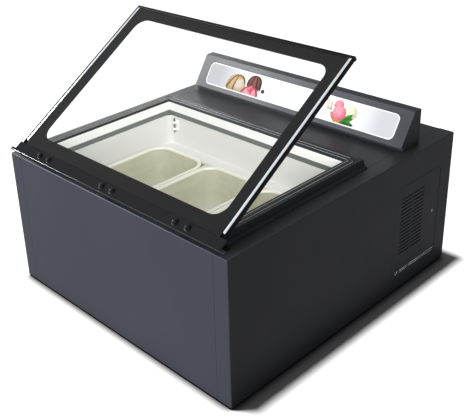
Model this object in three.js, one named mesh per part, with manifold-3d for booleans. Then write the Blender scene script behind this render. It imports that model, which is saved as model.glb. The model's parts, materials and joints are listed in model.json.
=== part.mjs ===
// Countertop ice-cream display freezer: a low steel cabinet with a glass lid hinged along its front edge,
// three lift-out pans in a white liner, a lit sign across the top and a refrigeration unit at the back.
// Millimetres. +X is to the right seen from the front, +Y runs from the front to the back, +Z is up.
// Sizes below are counted from the middle of the cabinet's front face at floor level. The finished group
// is shifted so that its origin is the middle of the whole object's box, on the floor.

import * as THREE from "three";
import { mergeVertices } from "three/addons/utils/BufferGeometryUtils.js";
import Module from "manifold-3d";

const wasm = await Module();
wasm.setup();

// ---------------------------------------------------------------- driving dimensions

const gap = 0.3; // between pieces that rest on each other
const sheet = 1.2; // thickness of the cabinet's steel

// cabinet shell
const halfWidth = 350;
const depth = 756;
const footHeight = 5;
const shellHeight = 333;
const top = footHeight + shellHeight;
const flange = 37; // fold of the side panels over the front and the top
const seam = 0.5; // gap in the seams between outer panels
const trayWall = 15;
const foot = { radius: 16, insetX: 40, insetY: 40 };

// opening, from the top down: raised frame, white collar, grey gasket, liner
const opening = { x: 276, front: 62, back: 433 };
const frame = { height: 20, inner: 279, footOut: 36, topOut: 27, groove: 1.2 };
const collar = { low: top - 7, high: top + 14, wall: 2.5 };
const gasket = { low: top - 20, wall: 2.5 };
const liner = { wall: 1.5, corner: 16, ledge: 240, floor: 94, lowX: 262, lowFront: 72, lowBack: 384 };
const foam = { bottom: 8, back: 480, side: 346.8, front: 3.2, pipeSpace: 11 };

// pans: three containers of the one-third gastronorm size, on a rack
const pan = { width: 176, length: 325, depth: 150, pitch: 180, wall: 0.8, rim: 8, corner: 42, draft: 7 };
const panCentreY = 228.5;
const rack = { top: 246, thick: 5.7, divider: 16 };

// lid, in its own frame: the origin is on the hinge axis, +Y runs up the glass and +Z out of its face
const lidTilt = 33.1; // degrees open
const hinge = { y: 27, z: top + 12, pin: 2, barrel: 5, spacing: 223, clearance: 0.3 };
const lid = { x: 323.4, low: 8.5, high: 16.5, plate: 3.7, front: -20, back: 440.7, glassFront: 2.6 };
const lidWindow = { x: 286, front: 34.9, back: 414.3, corner: 30 };
const lidStrip = { inner: 313, outer: 319 };
const lidBar = { x: 331, front: -23.5, back: 2.3, lipX: 346, lipBack: -17 };
const lidRail = { back: 448.3, low: 6.5 };
const lidScrew = { y: -9.7, offset: 17, head: 7.5, height: 7, shank: 2 };

// sign: a hollow wedge across the top with a lit window in its sloping front, which overhangs a recessed foot
const sign = { x: 325, front: 576, ridge: 623.5, back: 648, height: 84.5, wall: 2, lip: 11, recess: 9 };
const signWindow = { x: 296, low: 11, high: 73, corner: 14 };

// right side: cover over the condenser, with louvre slots
const cover = { front: 532, back: 712, low: 42, high: 270, corner: 14 };
const louvre = { count: 16, front: 556, back: 652, low: 96, high: 246, height: 4.2, columns: 2 };

// refrigeration unit
const fan = { y: 610, z: 130, hole: 82, blade: 74, hub: 20, count: 5, x: 304.6 };
const condenser = { x0: 318, x1: 340, front: 520, back: 700, low: 25, high: 235, fins: 22 };
const compressor = { x: -150, y: 610, radius: 62, height: 150 };
const coil = { radius: 3.5, turns: 3, low: 112, pitch: 32 };

// controls on the back
const controls = { x0: -262, x1: -92, low: 254, high: 312, depth: 12, recess: 1 };
const rocker = { x: -122, z: 283, halfWidth: 8, halfHeight: 13, tilt: 10 };
const key = { size: 11, z: 283, upX: -204, downX: -184 };
const inlet = { x: 250, z: 62, halfWidth: 24, halfHeight: 14, depth: 22 };

// ---------------------------------------------------------------- geometry helpers

function solid(geometry) {
  const plain = geometry.clone();
  plain.deleteAttribute("normal");
  plain.deleteAttribute("uv");
  const merged = mergeVertices(plain, 1e-4);
  return new wasm.Manifold(
    new wasm.Mesh({
      numProp: 3,
      vertProperties: new Float32Array(merged.attributes.position.array),
      triVerts: new Uint32Array(merged.index.array),
    }),
  );
}

function geometryOf(manifold) {
  const mesh = manifold.getMesh();
  const geometry = new THREE.BufferGeometry();
  geometry.setAttribute("position", new THREE.BufferAttribute(mesh.vertProperties, 3));
  geometry.setIndex(new THREE.BufferAttribute(mesh.triVerts, 1));
  geometry.computeVertexNormals();
  return geometry;
}

function combine(method, first, others) {
  let result = solid(first);
  for (const other of others) {
    result = result[method](solid(other));
  }
  return geometryOf(result);
}

const join = (first, ...others) => combine("add", first, others);
const cut = (first, ...others) => combine("subtract", first, others);

// a box from its lowest to its highest corner
function block(x0, y0, z0, x1, y1, z1) {
  const geometry = new THREE.BoxGeometry(x1 - x0, y1 - y0, z1 - z0);
  return geometry.translate((x0 + x1) / 2, (y0 + y1) / 2, (z0 + z1) / 2);
}

// a round bar along X, Y or Z from one end to the other
function rod(axis, radius, from, to, a, b, sides = 16) {
  const geometry = new THREE.CylinderGeometry(radius, radius, to - from, sides);
  const middle = (from + to) / 2;
  if (axis === "x") {
    return geometry.rotateZ(-Math.PI / 2).translate(middle, a, b);
  }
  if (axis === "y") {
    return geometry.translate(a, middle, b);
  }
  return geometry.rotateX(Math.PI / 2).translate(a, b, middle);
}

function roundedRectangle(x0, y0, x1, y1, radius) {
  const shape = new THREE.Shape();
  shape.moveTo(x0 + radius, y0);
  shape.lineTo(x1 - radius, y0);
  shape.absarc(x1 - radius, y0 + radius, radius, -Math.PI / 2, 0);
  shape.absarc(x1 - radius, y1 - radius, radius, 0, Math.PI / 2);
  shape.absarc(x0 + radius, y1 - radius, radius, Math.PI / 2, Math.PI);
  shape.absarc(x0 + radius, y0 + radius, radius, Math.PI, Math.PI * 1.5);
  return shape;
}

function slab(shape, z0, z1, curveSegments = 6) {
  const options = { depth: z1 - z0, bevelEnabled: false, curveSegments };
  return new THREE.ExtrudeGeometry(shape, options).translate(0, 0, z0);
}

// an outline of (y, z) points, extruded along X
function alongX(points, x0, x1) {
  const shape = new THREE.Shape(points.map(([y, z]) => new THREE.Vector2(y, z)));
  const turn = new THREE.Matrix4().set(0, 0, 1, x0, 1, 0, 0, 0, 0, 1, 0, 0, 0, 0, 0, 1);
  return new THREE.ExtrudeGeometry(shape, { depth: x1 - x0, bevelEnabled: false }).applyMatrix4(turn);
}

// one level of a lofted piece: a rounded rectangle at a height
function ring(x0, y0, x1, y1, radius, z, segments = 4) {
  const points = [];
  const corners = [
    [x1 - radius, y0 + radius, -0.5],
    [x1 - radius, y1 - radius, 0],
    [x0 + radius, y1 - radius, 0.5],
    [x0 + radius, y0 + radius, 1],
  ];
  for (const [cx, cy, start] of corners) {
    for (let step = 0; step <= segments; step += 1) {
      const angle = (start + (0.5 * step) / segments) * Math.PI;
      points.push(new THREE.Vector3(cx + radius * Math.cos(angle), cy + radius * Math.sin(angle), z));
    }
  }
  return points;
}

// skins a row of rings; a closed loft joins its last ring to its first, and an open one has flat ends
function loft(rings, closed = false) {
  const count = rings[0].length;
  const positions = rings.flat().flatMap((point) => point.toArray());
  const index = [];
  const bands = closed ? rings.length : rings.length - 1;
  for (let level = 0; level < bands; level += 1) {
    const a = level * count;
    const b = ((level + 1) % rings.length) * count;
    for (let k = 0; k < count; k += 1) {
      const next = (k + 1) % count;
      index.push(a + k, a + next, b + next, a + k, b + next, b + k);
    }
  }
  if (!closed) {
    for (const [level, flip] of [[0, true], [rings.length - 1, false]]) {
      const centre = positions.length / 3;
      const points = rings[level];
      const sum = points.reduce((total, point) => total.add(point), new THREE.Vector3());
      positions.push(...sum.divideScalar(count).toArray());
      for (let k = 0; k < count; k += 1) {
        const pair = [level * count + k, level * count + ((k + 1) % count)];
        index.push(centre, ...(flip ? pair.reverse() : pair));
      }
    }
  }
  const geometry = new THREE.BufferGeometry();
  geometry.setAttribute("position", new THREE.Float32BufferAttribute(positions, 3));
  geometry.setIndex(index);
  geometry.computeVertexNormals();
  return geometry;
}

function turned(profile, sides = 16) {
  const points = profile.map(([radius, height]) => new THREE.Vector2(radius, height));
  return new THREE.LatheGeometry(points, sides).rotateX(Math.PI / 2);
}

// ---------------------------------------------------------------- materials

function finish(color, roughness, metalness, extra = {}) {
  return new THREE.MeshStandardMaterial({ color, roughness, metalness, ...extra });
}

const paint = {
  charcoal: finish(0x3b3d43, 0.42, 0.35),
  charcoalTop: finish(0x46464a, 0.38, 0.35),
  galvanised: finish(0x9a9da0, 0.45, 0.8),
  frameGrey: finish(0x6d7073, 0.28, 0.6),
  whitePlastic: finish(0xf4f5f4, 0.35, 0),
  gasketGrey: finish(0x6f7674, 0.6, 0),
  linerWhite: finish(0xdfe3e0, 0.4, 0),
  foamYellow: finish(0xd8c88a, 0.95, 0),
  copper: finish(0xb8734a, 0.35, 0.9),
  steel: finish(0xc2c4b4, 0.32, 0.85),
  lidBlack: finish(0x232326, 0.3, 0.1),
  aluminium: finish(0xd9dbdd, 0.25, 0.9),
  glass: finish(0xdfe8e6, 0.05, 0, { transparent: true, opacity: 0.2 }),
  lens: finish(0xf2f2f7, 0.3, 0, { emissive: 0xffffff, emissiveIntensity: 0.6 }),
  board: finish(0xe8e8e4, 0.5, 0),
  blackPlastic: finish(0x1d1d20, 0.45, 0),
  blackEnamel: finish(0x17181a, 0.3, 0.2),
  fin: finish(0xb9bcbf, 0.4, 0.85),
  pinSteel: finish(0xb4b6b8, 0.28, 0.95),
  rubber: finish(0x1a1a1a, 0.85, 0),
  keyGrey: finish(0x8d9196, 0.5, 0),
};

function piece(parent, name, geometry, material) {
  const mesh = new THREE.Mesh(geometry, material);
  mesh.name = name;
  parent.add(mesh);
  return mesh;
}

// ---------------------------------------------------------------- cabinet shell

// a side panel folded over the front and the top, as one sheet; side is -1 on the left, 1 on the right
function sidePanel(side) {
  const outer = side * halfWidth;
  const inner = side * (halfWidth - sheet);
  const fold = side * (halfWidth - flange);
  const span = (from, to) => [Math.min(from, to), Math.max(from, to)];
  const [wall0, wall1] = span(outer, inner);
  const [fold0, fold1] = span(outer, fold);
  const wall = block(wall0, 0, footHeight, wall1, depth, top);
  const frontFold = block(fold0, 0, footHeight, fold1, sheet, top);
  const topFold = block(fold0, 0, top - sheet, fold1, depth, top);
  return join(wall, frontFold, topFold);
}

function rightSidePanel() {
  const radius = cover.corner;
  const outline = roundedRectangle(cover.front, cover.low, cover.back, cover.high, radius);
  const hole = slab(outline, -1, 3).applyMatrix4(sidewaysMatrix(halfWidth - 2));
  return cut(sidePanel(1), hole);
}

// stands an outline drawn in (x, y) up in the plane of the right side, as (y, z), its depth along X
function sidewaysMatrix(x) {
  return new THREE.Matrix4().set(0, 0, 1, x, 1, 0, 0, 0, 0, 1, 0, 0, 0, 0, 0, 1);
}

function sideCover() {
  const inset = seam;
  const outline = roundedRectangle(
    cover.front + inset,
    cover.low + inset,
    cover.back - inset,
    cover.high - inset,
    cover.corner - inset,
  );
  const plate = slab(outline, 0, sheet).applyMatrix4(sidewaysMatrix(halfWidth - sheet));
  const slots = [];
  const rowPitch = (louvre.high - louvre.low) / louvre.count;
  const columnPitch = (louvre.back - louvre.front) / louvre.columns;
  for (let row = 0; row < louvre.count; row += 1) {
    for (let column = 0; column < louvre.columns; column += 1) {
      const y = louvre.front + columnPitch * column;
      const z = louvre.low + rowPitch * row;
      slots.push(block(halfWidth - 3, y, z, halfWidth + 1, y + columnPitch - 5, z + louvre.height));
    }
  }
  const screwHole = rod("x", 4.6, halfWidth - 3, halfWidth + 1, cover.back - 22, 158, 16);
  return cut(plate, ...slots, screwHole);
}

function sideScrew() {
  const head = rod("x", 4.2, halfWidth - sheet, halfWidth, 0, 0, 16);
  const shank = rod("x", 2, halfWidth - 8, halfWidth - 0.5, 0, 0, 12);
  return join(head, shank).translate(0, cover.back - 22, 158);
}

function frontPanel() {
  const x = halfWidth - flange - seam;
  const face = block(-x, 0, footHeight, x, sheet, top);
  const topFold = block(-x, 0, top - sheet, x, 9, top);
  return join(face, topFold);
}

function topDeck() {
  const x = halfWidth - flange - seam;
  const plate = block(-x, 9 + seam, top - sheet, x, sign.back + 3, top);
  const clear = frame.inner + 1;
  const hole = block(-clear, opening.front - 4, top - 5, clear, opening.back + 4, top + 5);
  return cut(plate, hole);
}

function rearServiceCover() {
  const x = halfWidth - flange - seam;
  return block(-x, sign.back + 3 + seam, top - sheet, x, depth - sheet - seam, top);
}

function rearPanel() {
  const x = halfWidth - sheet - gap;
  const face = block(-x, depth - sheet, footHeight, x, depth, top - sheet - gap);
  const openings = [];
  for (let row = 0; row < 11; row += 1) {
    for (const centre of [-150, 60]) {
      const z = 60 + row * 14;
      openings.push(block(centre - 60, depth - 4, z, centre + 60, depth + 2, z + 5));
    }
  }
  const hold = (x0, z0, x1, z1) => block(x0 - gap, depth - 4, z0 - gap, x1 + gap, depth + 2, z1 + gap);
  openings.push(hold(controls.x0, controls.low, controls.x1, controls.high));
  openings.push(
    hold(
      inlet.x - inlet.halfWidth,
      inlet.z - inlet.halfHeight,
      inlet.x + inlet.halfWidth,
      inlet.z + inlet.halfHeight,
    ),
  );
  return cut(face, ...openings);
}

function baseTray() {
  const x = halfWidth - sheet - gap;
  const y0 = sheet + gap;
  const y1 = depth - sheet - gap;
  const low = footHeight;
  const high = footHeight + trayWall;
  return loft([
    ring(-x, y0, x, y1, 1, low, 1),
    ring(-x, y0, x, y1, 1, high, 1),
    ring(-x + sheet, y0 + sheet, x - sheet, y1 - sheet, 1, high, 1),
    ring(-x + sheet, y0 + sheet, x - sheet, y1 - sheet, 1, low + sheet, 1),
  ]);
}

function rubberFoot() {
  const r = foot.radius;
  return turned([[0, 0], [r - 2, 0], [r, 1.5], [r - 2, footHeight - gap], [0, footHeight - gap]]);
}

// ---------------------------------------------------------------- opening, liner and foam

// the raised frame round the opening: sloping outside, two grooves along its top, straight inside
function openingFrame() {
  const z0 = top + gap;
  const z1 = top + frame.height;
  const inner = frame.inner;
  const innerFront = opening.front - 3;
  const innerBack = opening.back + 3;
  const level = (out, z) => ring(-inner - out, innerFront - out, inner + out, innerBack + out, 0.5, z, 1);
  const footOut = (out) => {
    const front = Math.min(out, 24);
    return ring(-inner - out, innerFront - front, inner + out, innerBack + out - 6, 0.5, z0, 1);
  };
  const top0 = frame.topOut;
  const low = z1 - frame.groove;
  return loft(
    [
      footOut(frame.footOut),
      ring(-inner - 30, innerFront - 24, inner + 30, innerBack + 28, 0.5, z0 + 6, 1),
      ring(-inner - top0, innerFront - 22, inner + top0, innerBack + top0, 0.5, z1 - 1.5, 1),
      ring(-inner - top0 + 1.5, innerFront - 20.5, inner + top0 - 1.5, innerBack + top0 - 1.5, 0.5, z1, 1),
      level(18, z1),
      level(17.2, low),
      level(15, low),
      level(14.2, z1),
      level(7, z1),
      level(6.2, low),
      level(4.6, low),
      level(3.8, z1),
      level(0, z1),
      level(0, z0),
    ],
    true,
  );
}

// a straight band round the opening, its inner face flush with the mouth of the liner
function band(wall, z0, z1) {
  const { x, front, back } = opening;
  return loft(
    [
      ring(-x - wall, front - wall, x + wall, back + wall, 1 + wall, z0, 2),
      ring(-x - wall, front - wall, x + wall, back + wall, 1 + wall, z1, 2),
      ring(-x, front, x, back, 1, z1, 2),
      ring(-x, front, x, back, 1, z0, 2),
    ],
    true,
  );
}

// the liner's levels grown outwards by a distance, for its own two faces and for the foam around it
function linerLevels(grow, floor, ledge, rim) {
  const { x, front, back } = opening;
  const { lowX, lowFront, lowBack, corner } = liner;
  const lower = (z, radius) =>
    ring(-lowX - grow, lowFront - grow, lowX + grow, lowBack + grow, radius + grow, z);
  const upper = (z) => ring(-x - grow, front - grow, x + grow, back + grow, corner + grow, z);
  return [lower(floor, corner + 8), lower(ledge, corner + 8), upper(ledge), upper(rim)];
}

function innerLiner() {
  const wall = liner.wall;
  const rim = gasket.low - gap;
  const outside = linerLevels(wall, liner.floor - wall, liner.ledge - wall, rim);
  const inside = linerLevels(0, liner.floor, liner.ledge, rim);
  return loft([...outside, ...inside.reverse()]);
}

function foamTub() {
  const { side, front, back, bottom, pipeSpace } = foam;
  const mouth = gasket.wall + 0.6;
  const high = top - sheet - gap;
  const box = (z) => ring(-side, front, side, back, 3, z);
  const clear = (grow, z) => {
    const { x, front: y0, back: y1 } = opening;
    return ring(-x - grow, y0 - grow, x + grow, y1 + grow, 4, z);
  };
  const [floorRing, lowRing] = linerLevels(pipeSpace, liner.floor - pipeSpace, liner.ledge - 14, 0);
  const [, , shoulder, neck] = linerLevels(liner.wall + 0.4, 0, liner.ledge - 14, gasket.low - 1);
  return loft([
    box(bottom),
    box(high),
    clear(mouth, high),
    clear(mouth, gasket.low - 1),
    neck,
    shoulder,
    lowRing,
    floorRing,
  ]);
}

// a path that goes straight from each of its points to the next
class PointPath extends THREE.Curve {
  constructor(points) {
    super();
    this.points = points;
  }

  getPoint(t, target = new THREE.Vector3()) {
    const place = Math.min(Math.max(t, 0), 1) * (this.points.length - 1);
    const first = Math.min(Math.floor(place), this.points.length - 2);
    return target.lerpVectors(this.points[first], this.points[first + 1], place - first);
  }

  getUtoTmapping(u) {
    return u;
  }
}

// refrigerant pipe wound round the lower part of the liner
function evaporatorCoil() {
  const loop = linerLevels(liner.wall + coil.radius + 0.8, 0, 0, 0)[0];
  const points = [];
  for (let step = 0; step <= loop.length * coil.turns; step += 1) {
    const point = loop[step % loop.length].clone();
    point.z = coil.low + (step / loop.length) * coil.pitch;
    points.push(point);
  }
  const section = new THREE.Shape();
  section.absarc(0, 0, coil.radius, 0, Math.PI * 2);
  const options = { steps: points.length - 1, curveSegments: 3, bevelEnabled: false };
  return new THREE.ExtrudeGeometry(section, { ...options, extrudePath: new PointPath(points) });
}

function temperatureProbe() {
  const back = opening.back - gap;
  const clip = block(-10, back - 9, -14, 10, back, 14);
  const channel = block(-4, back - 20, -6, 4, back - 5, 20);
  const bulb = rod("z", 3, -22, 22, 0, back - 11, 14);
  return join(cut(clip, channel), bulb).translate(-250, 0, 296);
}

// ---------------------------------------------------------------- pans and their rack

function panRack() {
  const half = { x: 267.5, y: pan.length / 2 + 1.5 };
  const y0 = panCentreY - half.y;
  const y1 = panCentreY + half.y;
  const plate = block(-half.x, y0, rack.top - rack.thick, half.x, y1, rack.top);
  const reach = pan.pitch - rack.divider;
  const holes = [-1, 0, 1].map((place) => {
    const x = place * pan.pitch;
    return block(x - reach / 2, y0 + 8, 200, x + reach / 2, y1 - 8, 300);
  });
  return cut(plate, ...holes);
}

// a lift-out pan: flat rim with a turned-down edge, drafted walls and a flat floor
function pressedPan() {
  const high = rack.top + gap + 5.2;
  const floor = high - pan.depth;
  const halfX = pan.width / 2;
  const halfY = pan.length / 2;
  const level = (inset, radius, z) =>
    ring(-halfX + inset, -halfY + inset, halfX - inset, halfY - inset, radius, z, 5);
  const wall = pan.wall;
  const deep = pan.rim + pan.draft;
  const radius = pan.corner;
  return loft([
    level(deep + 10 - wall, radius - 16, floor),
    level(deep - wall, radius - 8, floor + 9),
    level(pan.rim + 1 - wall, radius - 2, high - 3),
    level(pan.rim - 2 - wall, radius, high - wall),
    level(wall, radius + 4 - wall, high - wall - 0.6),
    level(wall, radius + 4 - wall, high - 5),
    level(0, radius + 4, high - 5),
    level(0, radius + 4, high - 0.6),
    level(1.2, radius + 3, high),
    level(pan.rim - 2, radius, high),
    level(pan.rim + 1, radius - 2, high - 2.4),
    level(deep, radius - 8, floor + 9.5),
    level(deep + 10, radius - 16, floor + wall),
  ]);
}

// ---------------------------------------------------------------- sign

const signSlope = new THREE.Vector2(sign.ridge - sign.front, sign.height - sign.lip).normalize();

function signOutline(inset) {
  const { front, ridge, back, height, lip, recess } = sign;
  return [
    [front + recess + inset, gap + inset],
    [back - inset, gap + inset],
    [back - inset, height - inset],
    [ridge + inset * 0.5, height - inset],
    [front + inset * 1.9, lip + inset],
    [front + recess + inset, lip + inset],
  ].map(([y, z]) => [y, z + top]);
}

// carries an outline drawn on the sign's sloping face into place; z = 0 is the face, + is outwards
function onSignFace(geometry) {
  const { x: cos, y: sin } = signSlope;
  const foot = top + sign.lip;
  const place = new THREE.Matrix4().set(1, 0, 0, 0, 0, cos, -sin, sign.front, 0, sin, cos, foot, 0, 0, 0, 1);
  return geometry.applyMatrix4(place);
}

function signHousing() {
  const { x, wall } = sign;
  const shell = alongX(signOutline(0), -x, x);
  const hollow = alongX(signOutline(wall), -x + wall, x - wall);
  const rearMouth = block(-x + wall, sign.back - 6, top + wall, x - wall, sign.back + 2, top + sign.height - wall);
  const { x: wx, low, high, corner } = signWindow;
  const window = onSignFace(slab(roundedRectangle(-wx, low, wx, high, corner), -8, 4));
  return cut(shell, hollow, rearMouth, window);
}

function signLens() {
  const { x, low, high, corner } = signWindow;
  const inset = gap;
  const outline = roundedRectangle(-x + inset, low + inset, x - inset, high - inset, corner - inset);
  return onSignFace(slab(outline, -2, -0.4));
}

function signLightBoard() {
  const y = sign.back - 16;
  const z = top + 20;
  const board = block(-290, y, z, 290, y + 1.6, z + 40);
  const lamps = [];
  for (let lamp = 0; lamp < 18; lamp += 1) {
    const x = -272 + lamp * 32;
    lamps.push(block(x - 2.5, y - 1.6, z + 17, x + 2.5, y + 0.5, z + 22));
  }
  return join(board, ...lamps);
}

function signBackCover() {
  const x = sign.x - sign.wall - gap;
  const low = top + sign.wall + gap;
  const high = top + sign.height - sign.wall - gap;
  return block(-x, sign.back - 1.5, low, x, sign.back, high);
}

// ---------------------------------------------------------------- lid hinges (fixed half)

const hingeCentres = [-hinge.spacing, 0, hinge.spacing];
const ear = { inner: 20, outer: 25 };

function hingeRail() {
  const { y, z, barrel } = hinge;
  const foot0 = top + gap;
  const parts = [];
  const holes = [];
  for (const centre of hingeCentres) {
    for (const side of [-1, 1]) {
      const x0 = centre + (side < 0 ? -ear.outer : ear.inner);
      const x1 = x0 + ear.outer - ear.inner;
      parts.push(block(x0, y - barrel, foot0 + 1, x1, y + barrel, z));
      parts.push(rod("x", barrel, x0, x1, y, z));
    }
    holes.push(rod("x", hinge.pin + hinge.clearance, centre - 30, centre + 30, y, z));
  }
  const base = block(-324, 10, foot0, 324, 34.5, foot0 + 2);
  return geometryOf(solid(join(base, ...parts)).subtract(solid(join(holes[0], ...holes.slice(1)))));
}

// ---------------------------------------------------------------- lid (moving), in the lid's own frame

function hingeLeaf(centre) {
  const x0 = centre - 27;
  const x1 = centre + 27;
  const plate = block(x0, -16, 5.6, x1, 8, lid.low - gap);
  const inner = ear.inner - gap;
  const web = block(centre - inner, -hinge.barrel, 0, centre + inner, hinge.barrel, 6);
  const barrel = rod("x", hinge.barrel, centre - inner, centre + inner, 0, 0);
  const bore = rod("x", hinge.pin + hinge.clearance, centre - 30, centre + 30, 0, 0);
  return cut(join(plate, web, barrel), bore, ...screwHoles(centre));
}

function screwHoles(centre) {
  return [-1, 1].map((side) =>
    rod("z", lidScrew.shank + gap, 0, 30, centre + side * lidScrew.offset, lidScrew.y, 16),
  );
}

function hingePin(centre) {
  return rod("x", hinge.pin, centre - ear.outer - 0.5, centre + ear.outer + 0.5, 0, 0);
}

function lidScrewSolid(x) {
  const { head, height, shank } = lidScrew;
  const dome = turned([[0, 0], [head, 0], [head, 1.6], [head - 0.8, 3.4], [head - 2.6, 5.6], [3, height], [0, height]]);
  const stem = rod("z", shank, 6 - lid.high, 0.5, 0, 0, 16);
  return join(dome.translate(0, 0, gap), stem).translate(x, lidScrew.y, lid.high);
}

// the lid's frame: a plate with a rounded window, and an edge along each side that stands up beside the glass
function lidFrame() {
  const { x, low, plate, front, back, high, glassFront } = lid;
  const outline = roundedRectangle(-x, front, x, back, 2);
  const window = roundedRectangle(-lidWindow.x, lidWindow.front, lidWindow.x, lidWindow.back, lidWindow.corner);
  outline.holes.push(window);
  const sheetWithWindow = slab(outline, low, low + plate, 8);
  const edges = [-1, 1].map((side) => {
    const x0 = side < 0 ? -x : lidStrip.outer + gap;
    const x1 = side < 0 ? -lidStrip.outer - gap : x;
    return block(x0, glassFront, low + plate - 1, x1, back, high);
  });
  const holes = hingeCentres.flatMap(screwHoles);
  return cut(join(sheetWithWindow, ...edges), ...holes);
}

function lidGlass() {
  const x = lidStrip.inner - gap;
  return block(-x, lid.glassFront, lid.low + lid.plate + gap, x, lid.back, lid.high);
}

function lidSideStrip(side) {
  const x0 = side < 0 ? -lidStrip.outer : lidStrip.inner;
  const x1 = side < 0 ? -lidStrip.inner : lidStrip.outer;
  return block(x0, lid.glassFront, lid.low + lid.plate + gap, x1, lid.back, lid.high);
}

function lidHingeBar() {
  const { x, front, back, lipX, lipBack } = lidBar;
  const low = lid.low + lid.plate + gap;
  const cap = block(-x, front, low, x, back, lid.high);
  const skirt = block(-x, front, lid.low, x, lid.front - gap, lid.high);
  const lip = block(-lipX, front, low, lipX, lipBack, lid.high - 1);
  return cut(join(cap, skirt, lip), ...hingeCentres.flatMap(screwHoles));
}

// a bar along the free edge that reaches past the opening frame, so that fingers can lift the lid by it
function lidHandleRail() {
  return block(-lid.x, lid.back + gap, lidRail.low, lid.x, lidRail.back, lid.high);
}

// ---------------------------------------------------------------- refrigeration unit

function compressorPot() {
  const { x, y, radius: r, height: h } = compressor;
  const pot = turned([[0, 12], [r - 8, 12], [r, 20], [r, h - 40], [r - 6, h - 16], [r - 24, h - 3], [0, h]]);
  const base = block(-88, -50, 0, 88, 50, 3);
  const stand = rod("z", 30, 2, 14, 0, 0, 24);
  const terminal = block(r - 12, -18, 40, r + 14, 18, 85);
  return join(pot, base, stand, terminal).translate(x, y, footHeight + sheet + gap);
}

// a finned block: one comb outline, extruded upwards
function condenserBlock() {
  const { x0, x1, front, back, low, high, fins } = condenser;
  const pitch = (back - front) / fins;
  const root0 = (x0 + x1) / 2 - 3;
  const root1 = (x0 + x1) / 2 + 3;
  const right = [];
  const left = [];
  for (let fin = 0; fin < fins; fin += 1) {
    const y0 = front + fin * pitch;
    const y1 = y0 + pitch * 0.35;
    const y2 = y0 + pitch;
    right.push([x1, y0], [x1, y1], [root1, y1], [root1, y2]);
    left.push([x0, y0], [x0, y1], [root0, y1], [root0, y2]);
  }
  const outline = [...right, ...left.reverse()].map(([x, y]) => new THREE.Vector2(x, y));
  return slab(new THREE.Shape(outline), low, high);
}

function fanShroud() {
  const { front, back, low, high } = condenser;
  const x0 = 299;
  const x1 = 302;
  const plate = block(x0, front, low, x1, back, high);
  const hole = rod("x", fan.hole, x0 - 2, x1 + 2, fan.y, fan.z, 36);
  const lipFront = block(x0, front, low, condenser.x0 - gap, front + 3, high);
  const lipBack = block(x0, back - 3, low, condenser.x0 - gap, back, high);
  const foot = block(x0 - 22, front, footHeight + sheet + gap, x1, back, footHeight + sheet + 3);
  const legs = [front, back - 12].map((y) => block(x0, y, footHeight + sheet + 1, x1, y + 12, low + 2));
  const bars = [0, 1].map((turn) => {
    const bar = block(x0, -fan.hole - 4, -4, x1, fan.hole + 4, 4).rotateX((turn * Math.PI) / 2);
    return bar.translate(0, fan.y, fan.z);
  });
  const boss = rod("x", 16, x0, x1, fan.y, fan.z, 24);
  const bore = rod("x", 4, x0 - 2, x1 + 2, fan.y, fan.z, 20);
  return cut(join(cut(plate, hole), lipFront, lipBack, foot, ...legs, ...bars, boss), bore);
}

function fanMotor() {
  const body = rod("x", 27, 258, 298.7, fan.y, fan.z, 28);
  const bore = rod("x", 2.8, 280, 300, fan.y, fan.z, 20);
  return cut(body, bore);
}

function fanRotor() {
  const hub = rod("x", fan.hub, fan.x, fan.x + 9, 0, 0, 24);
  const shaft = rod("x", 2.5, 284, fan.x + 1, 0, 0, 20);
  const blades = [];
  for (let blade = 0; blade < fan.count; blade += 1) {
    const plate = block(-0.7, -15, fan.hub - 3, 0.7, 15, fan.blade).rotateZ(0.27);
    plate.translate(fan.x + 4.5, 0, 0);
    blades.push(plate.rotateX((blade * 2 * Math.PI) / fan.count));
  }
  return join(hub, shaft, ...blades).translate(0, fan.y, fan.z);
}

// ---------------------------------------------------------------- controls on the back

function controlsPlate() {
  const { x0, x1, low, high, depth: deep, recess } = controls;
  const y1 = depth - recess;
  const plate = block(x0, y1 - deep, low, x1, y1, high);
  const back = block(x0 + 2, y1 - deep - 1, low + 2, x1 - 2, y1 - 2.5, high - 2);
  const display = block(-250, y1 - 1, 270, -216, y1 + 1, 298);
  const half = key.size / 2 + gap;
  const keyHoles = [key.upX, key.downX].map((x) =>
    block(x - half, y1 - 5, key.z - half, x + half, y1 + 1, key.z + half),
  );
  const rockerHole = block(
    rocker.x - rocker.halfWidth - 0.5,
    y1 - 5,
    rocker.z - rocker.halfHeight - 0.8,
    rocker.x + rocker.halfWidth + 0.5,
    y1 + 1,
    rocker.z + rocker.halfHeight + 0.8,
  );
  return cut(plate, back, display, ...keyHoles, rockerHole);
}

// a push key: a square cap on a wider flange behind the plate
function pushKey(x) {
  const y = depth - controls.recess;
  const half = key.size / 2;
  const cap = block(-half, y - 6, -half, half, y + 0.4, half);
  const flangePlate = block(-half - 2, y - 8, -half - 2, half + 2, y - 2.5 - gap - 0.2, half + 2);
  return join(cap, flangePlate).translate(x, 0, key.z);
}

const rockerPivotY = depth - controls.recess - 5.5;

// a rocker with two flats that meet in a shallow valley; it rests tipped one way
function rockerKey() {
  const { halfWidth: hw, halfHeight: hh, tilt } = rocker;
  const rise = Math.tan(THREE.MathUtils.degToRad(tilt)) * hh;
  const outline = [[-4, -hh + 3], [1, -hh], [1.5 + rise, -hh], [1.8, 0], [1.5 + rise, hh], [1, hh], [-4, hh - 3]];
  const body = alongX(outline, -hw, hw).rotateX(THREE.MathUtils.degToRad(tilt));
  return body.translate(rocker.x, rockerPivotY, rocker.z);
}

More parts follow.
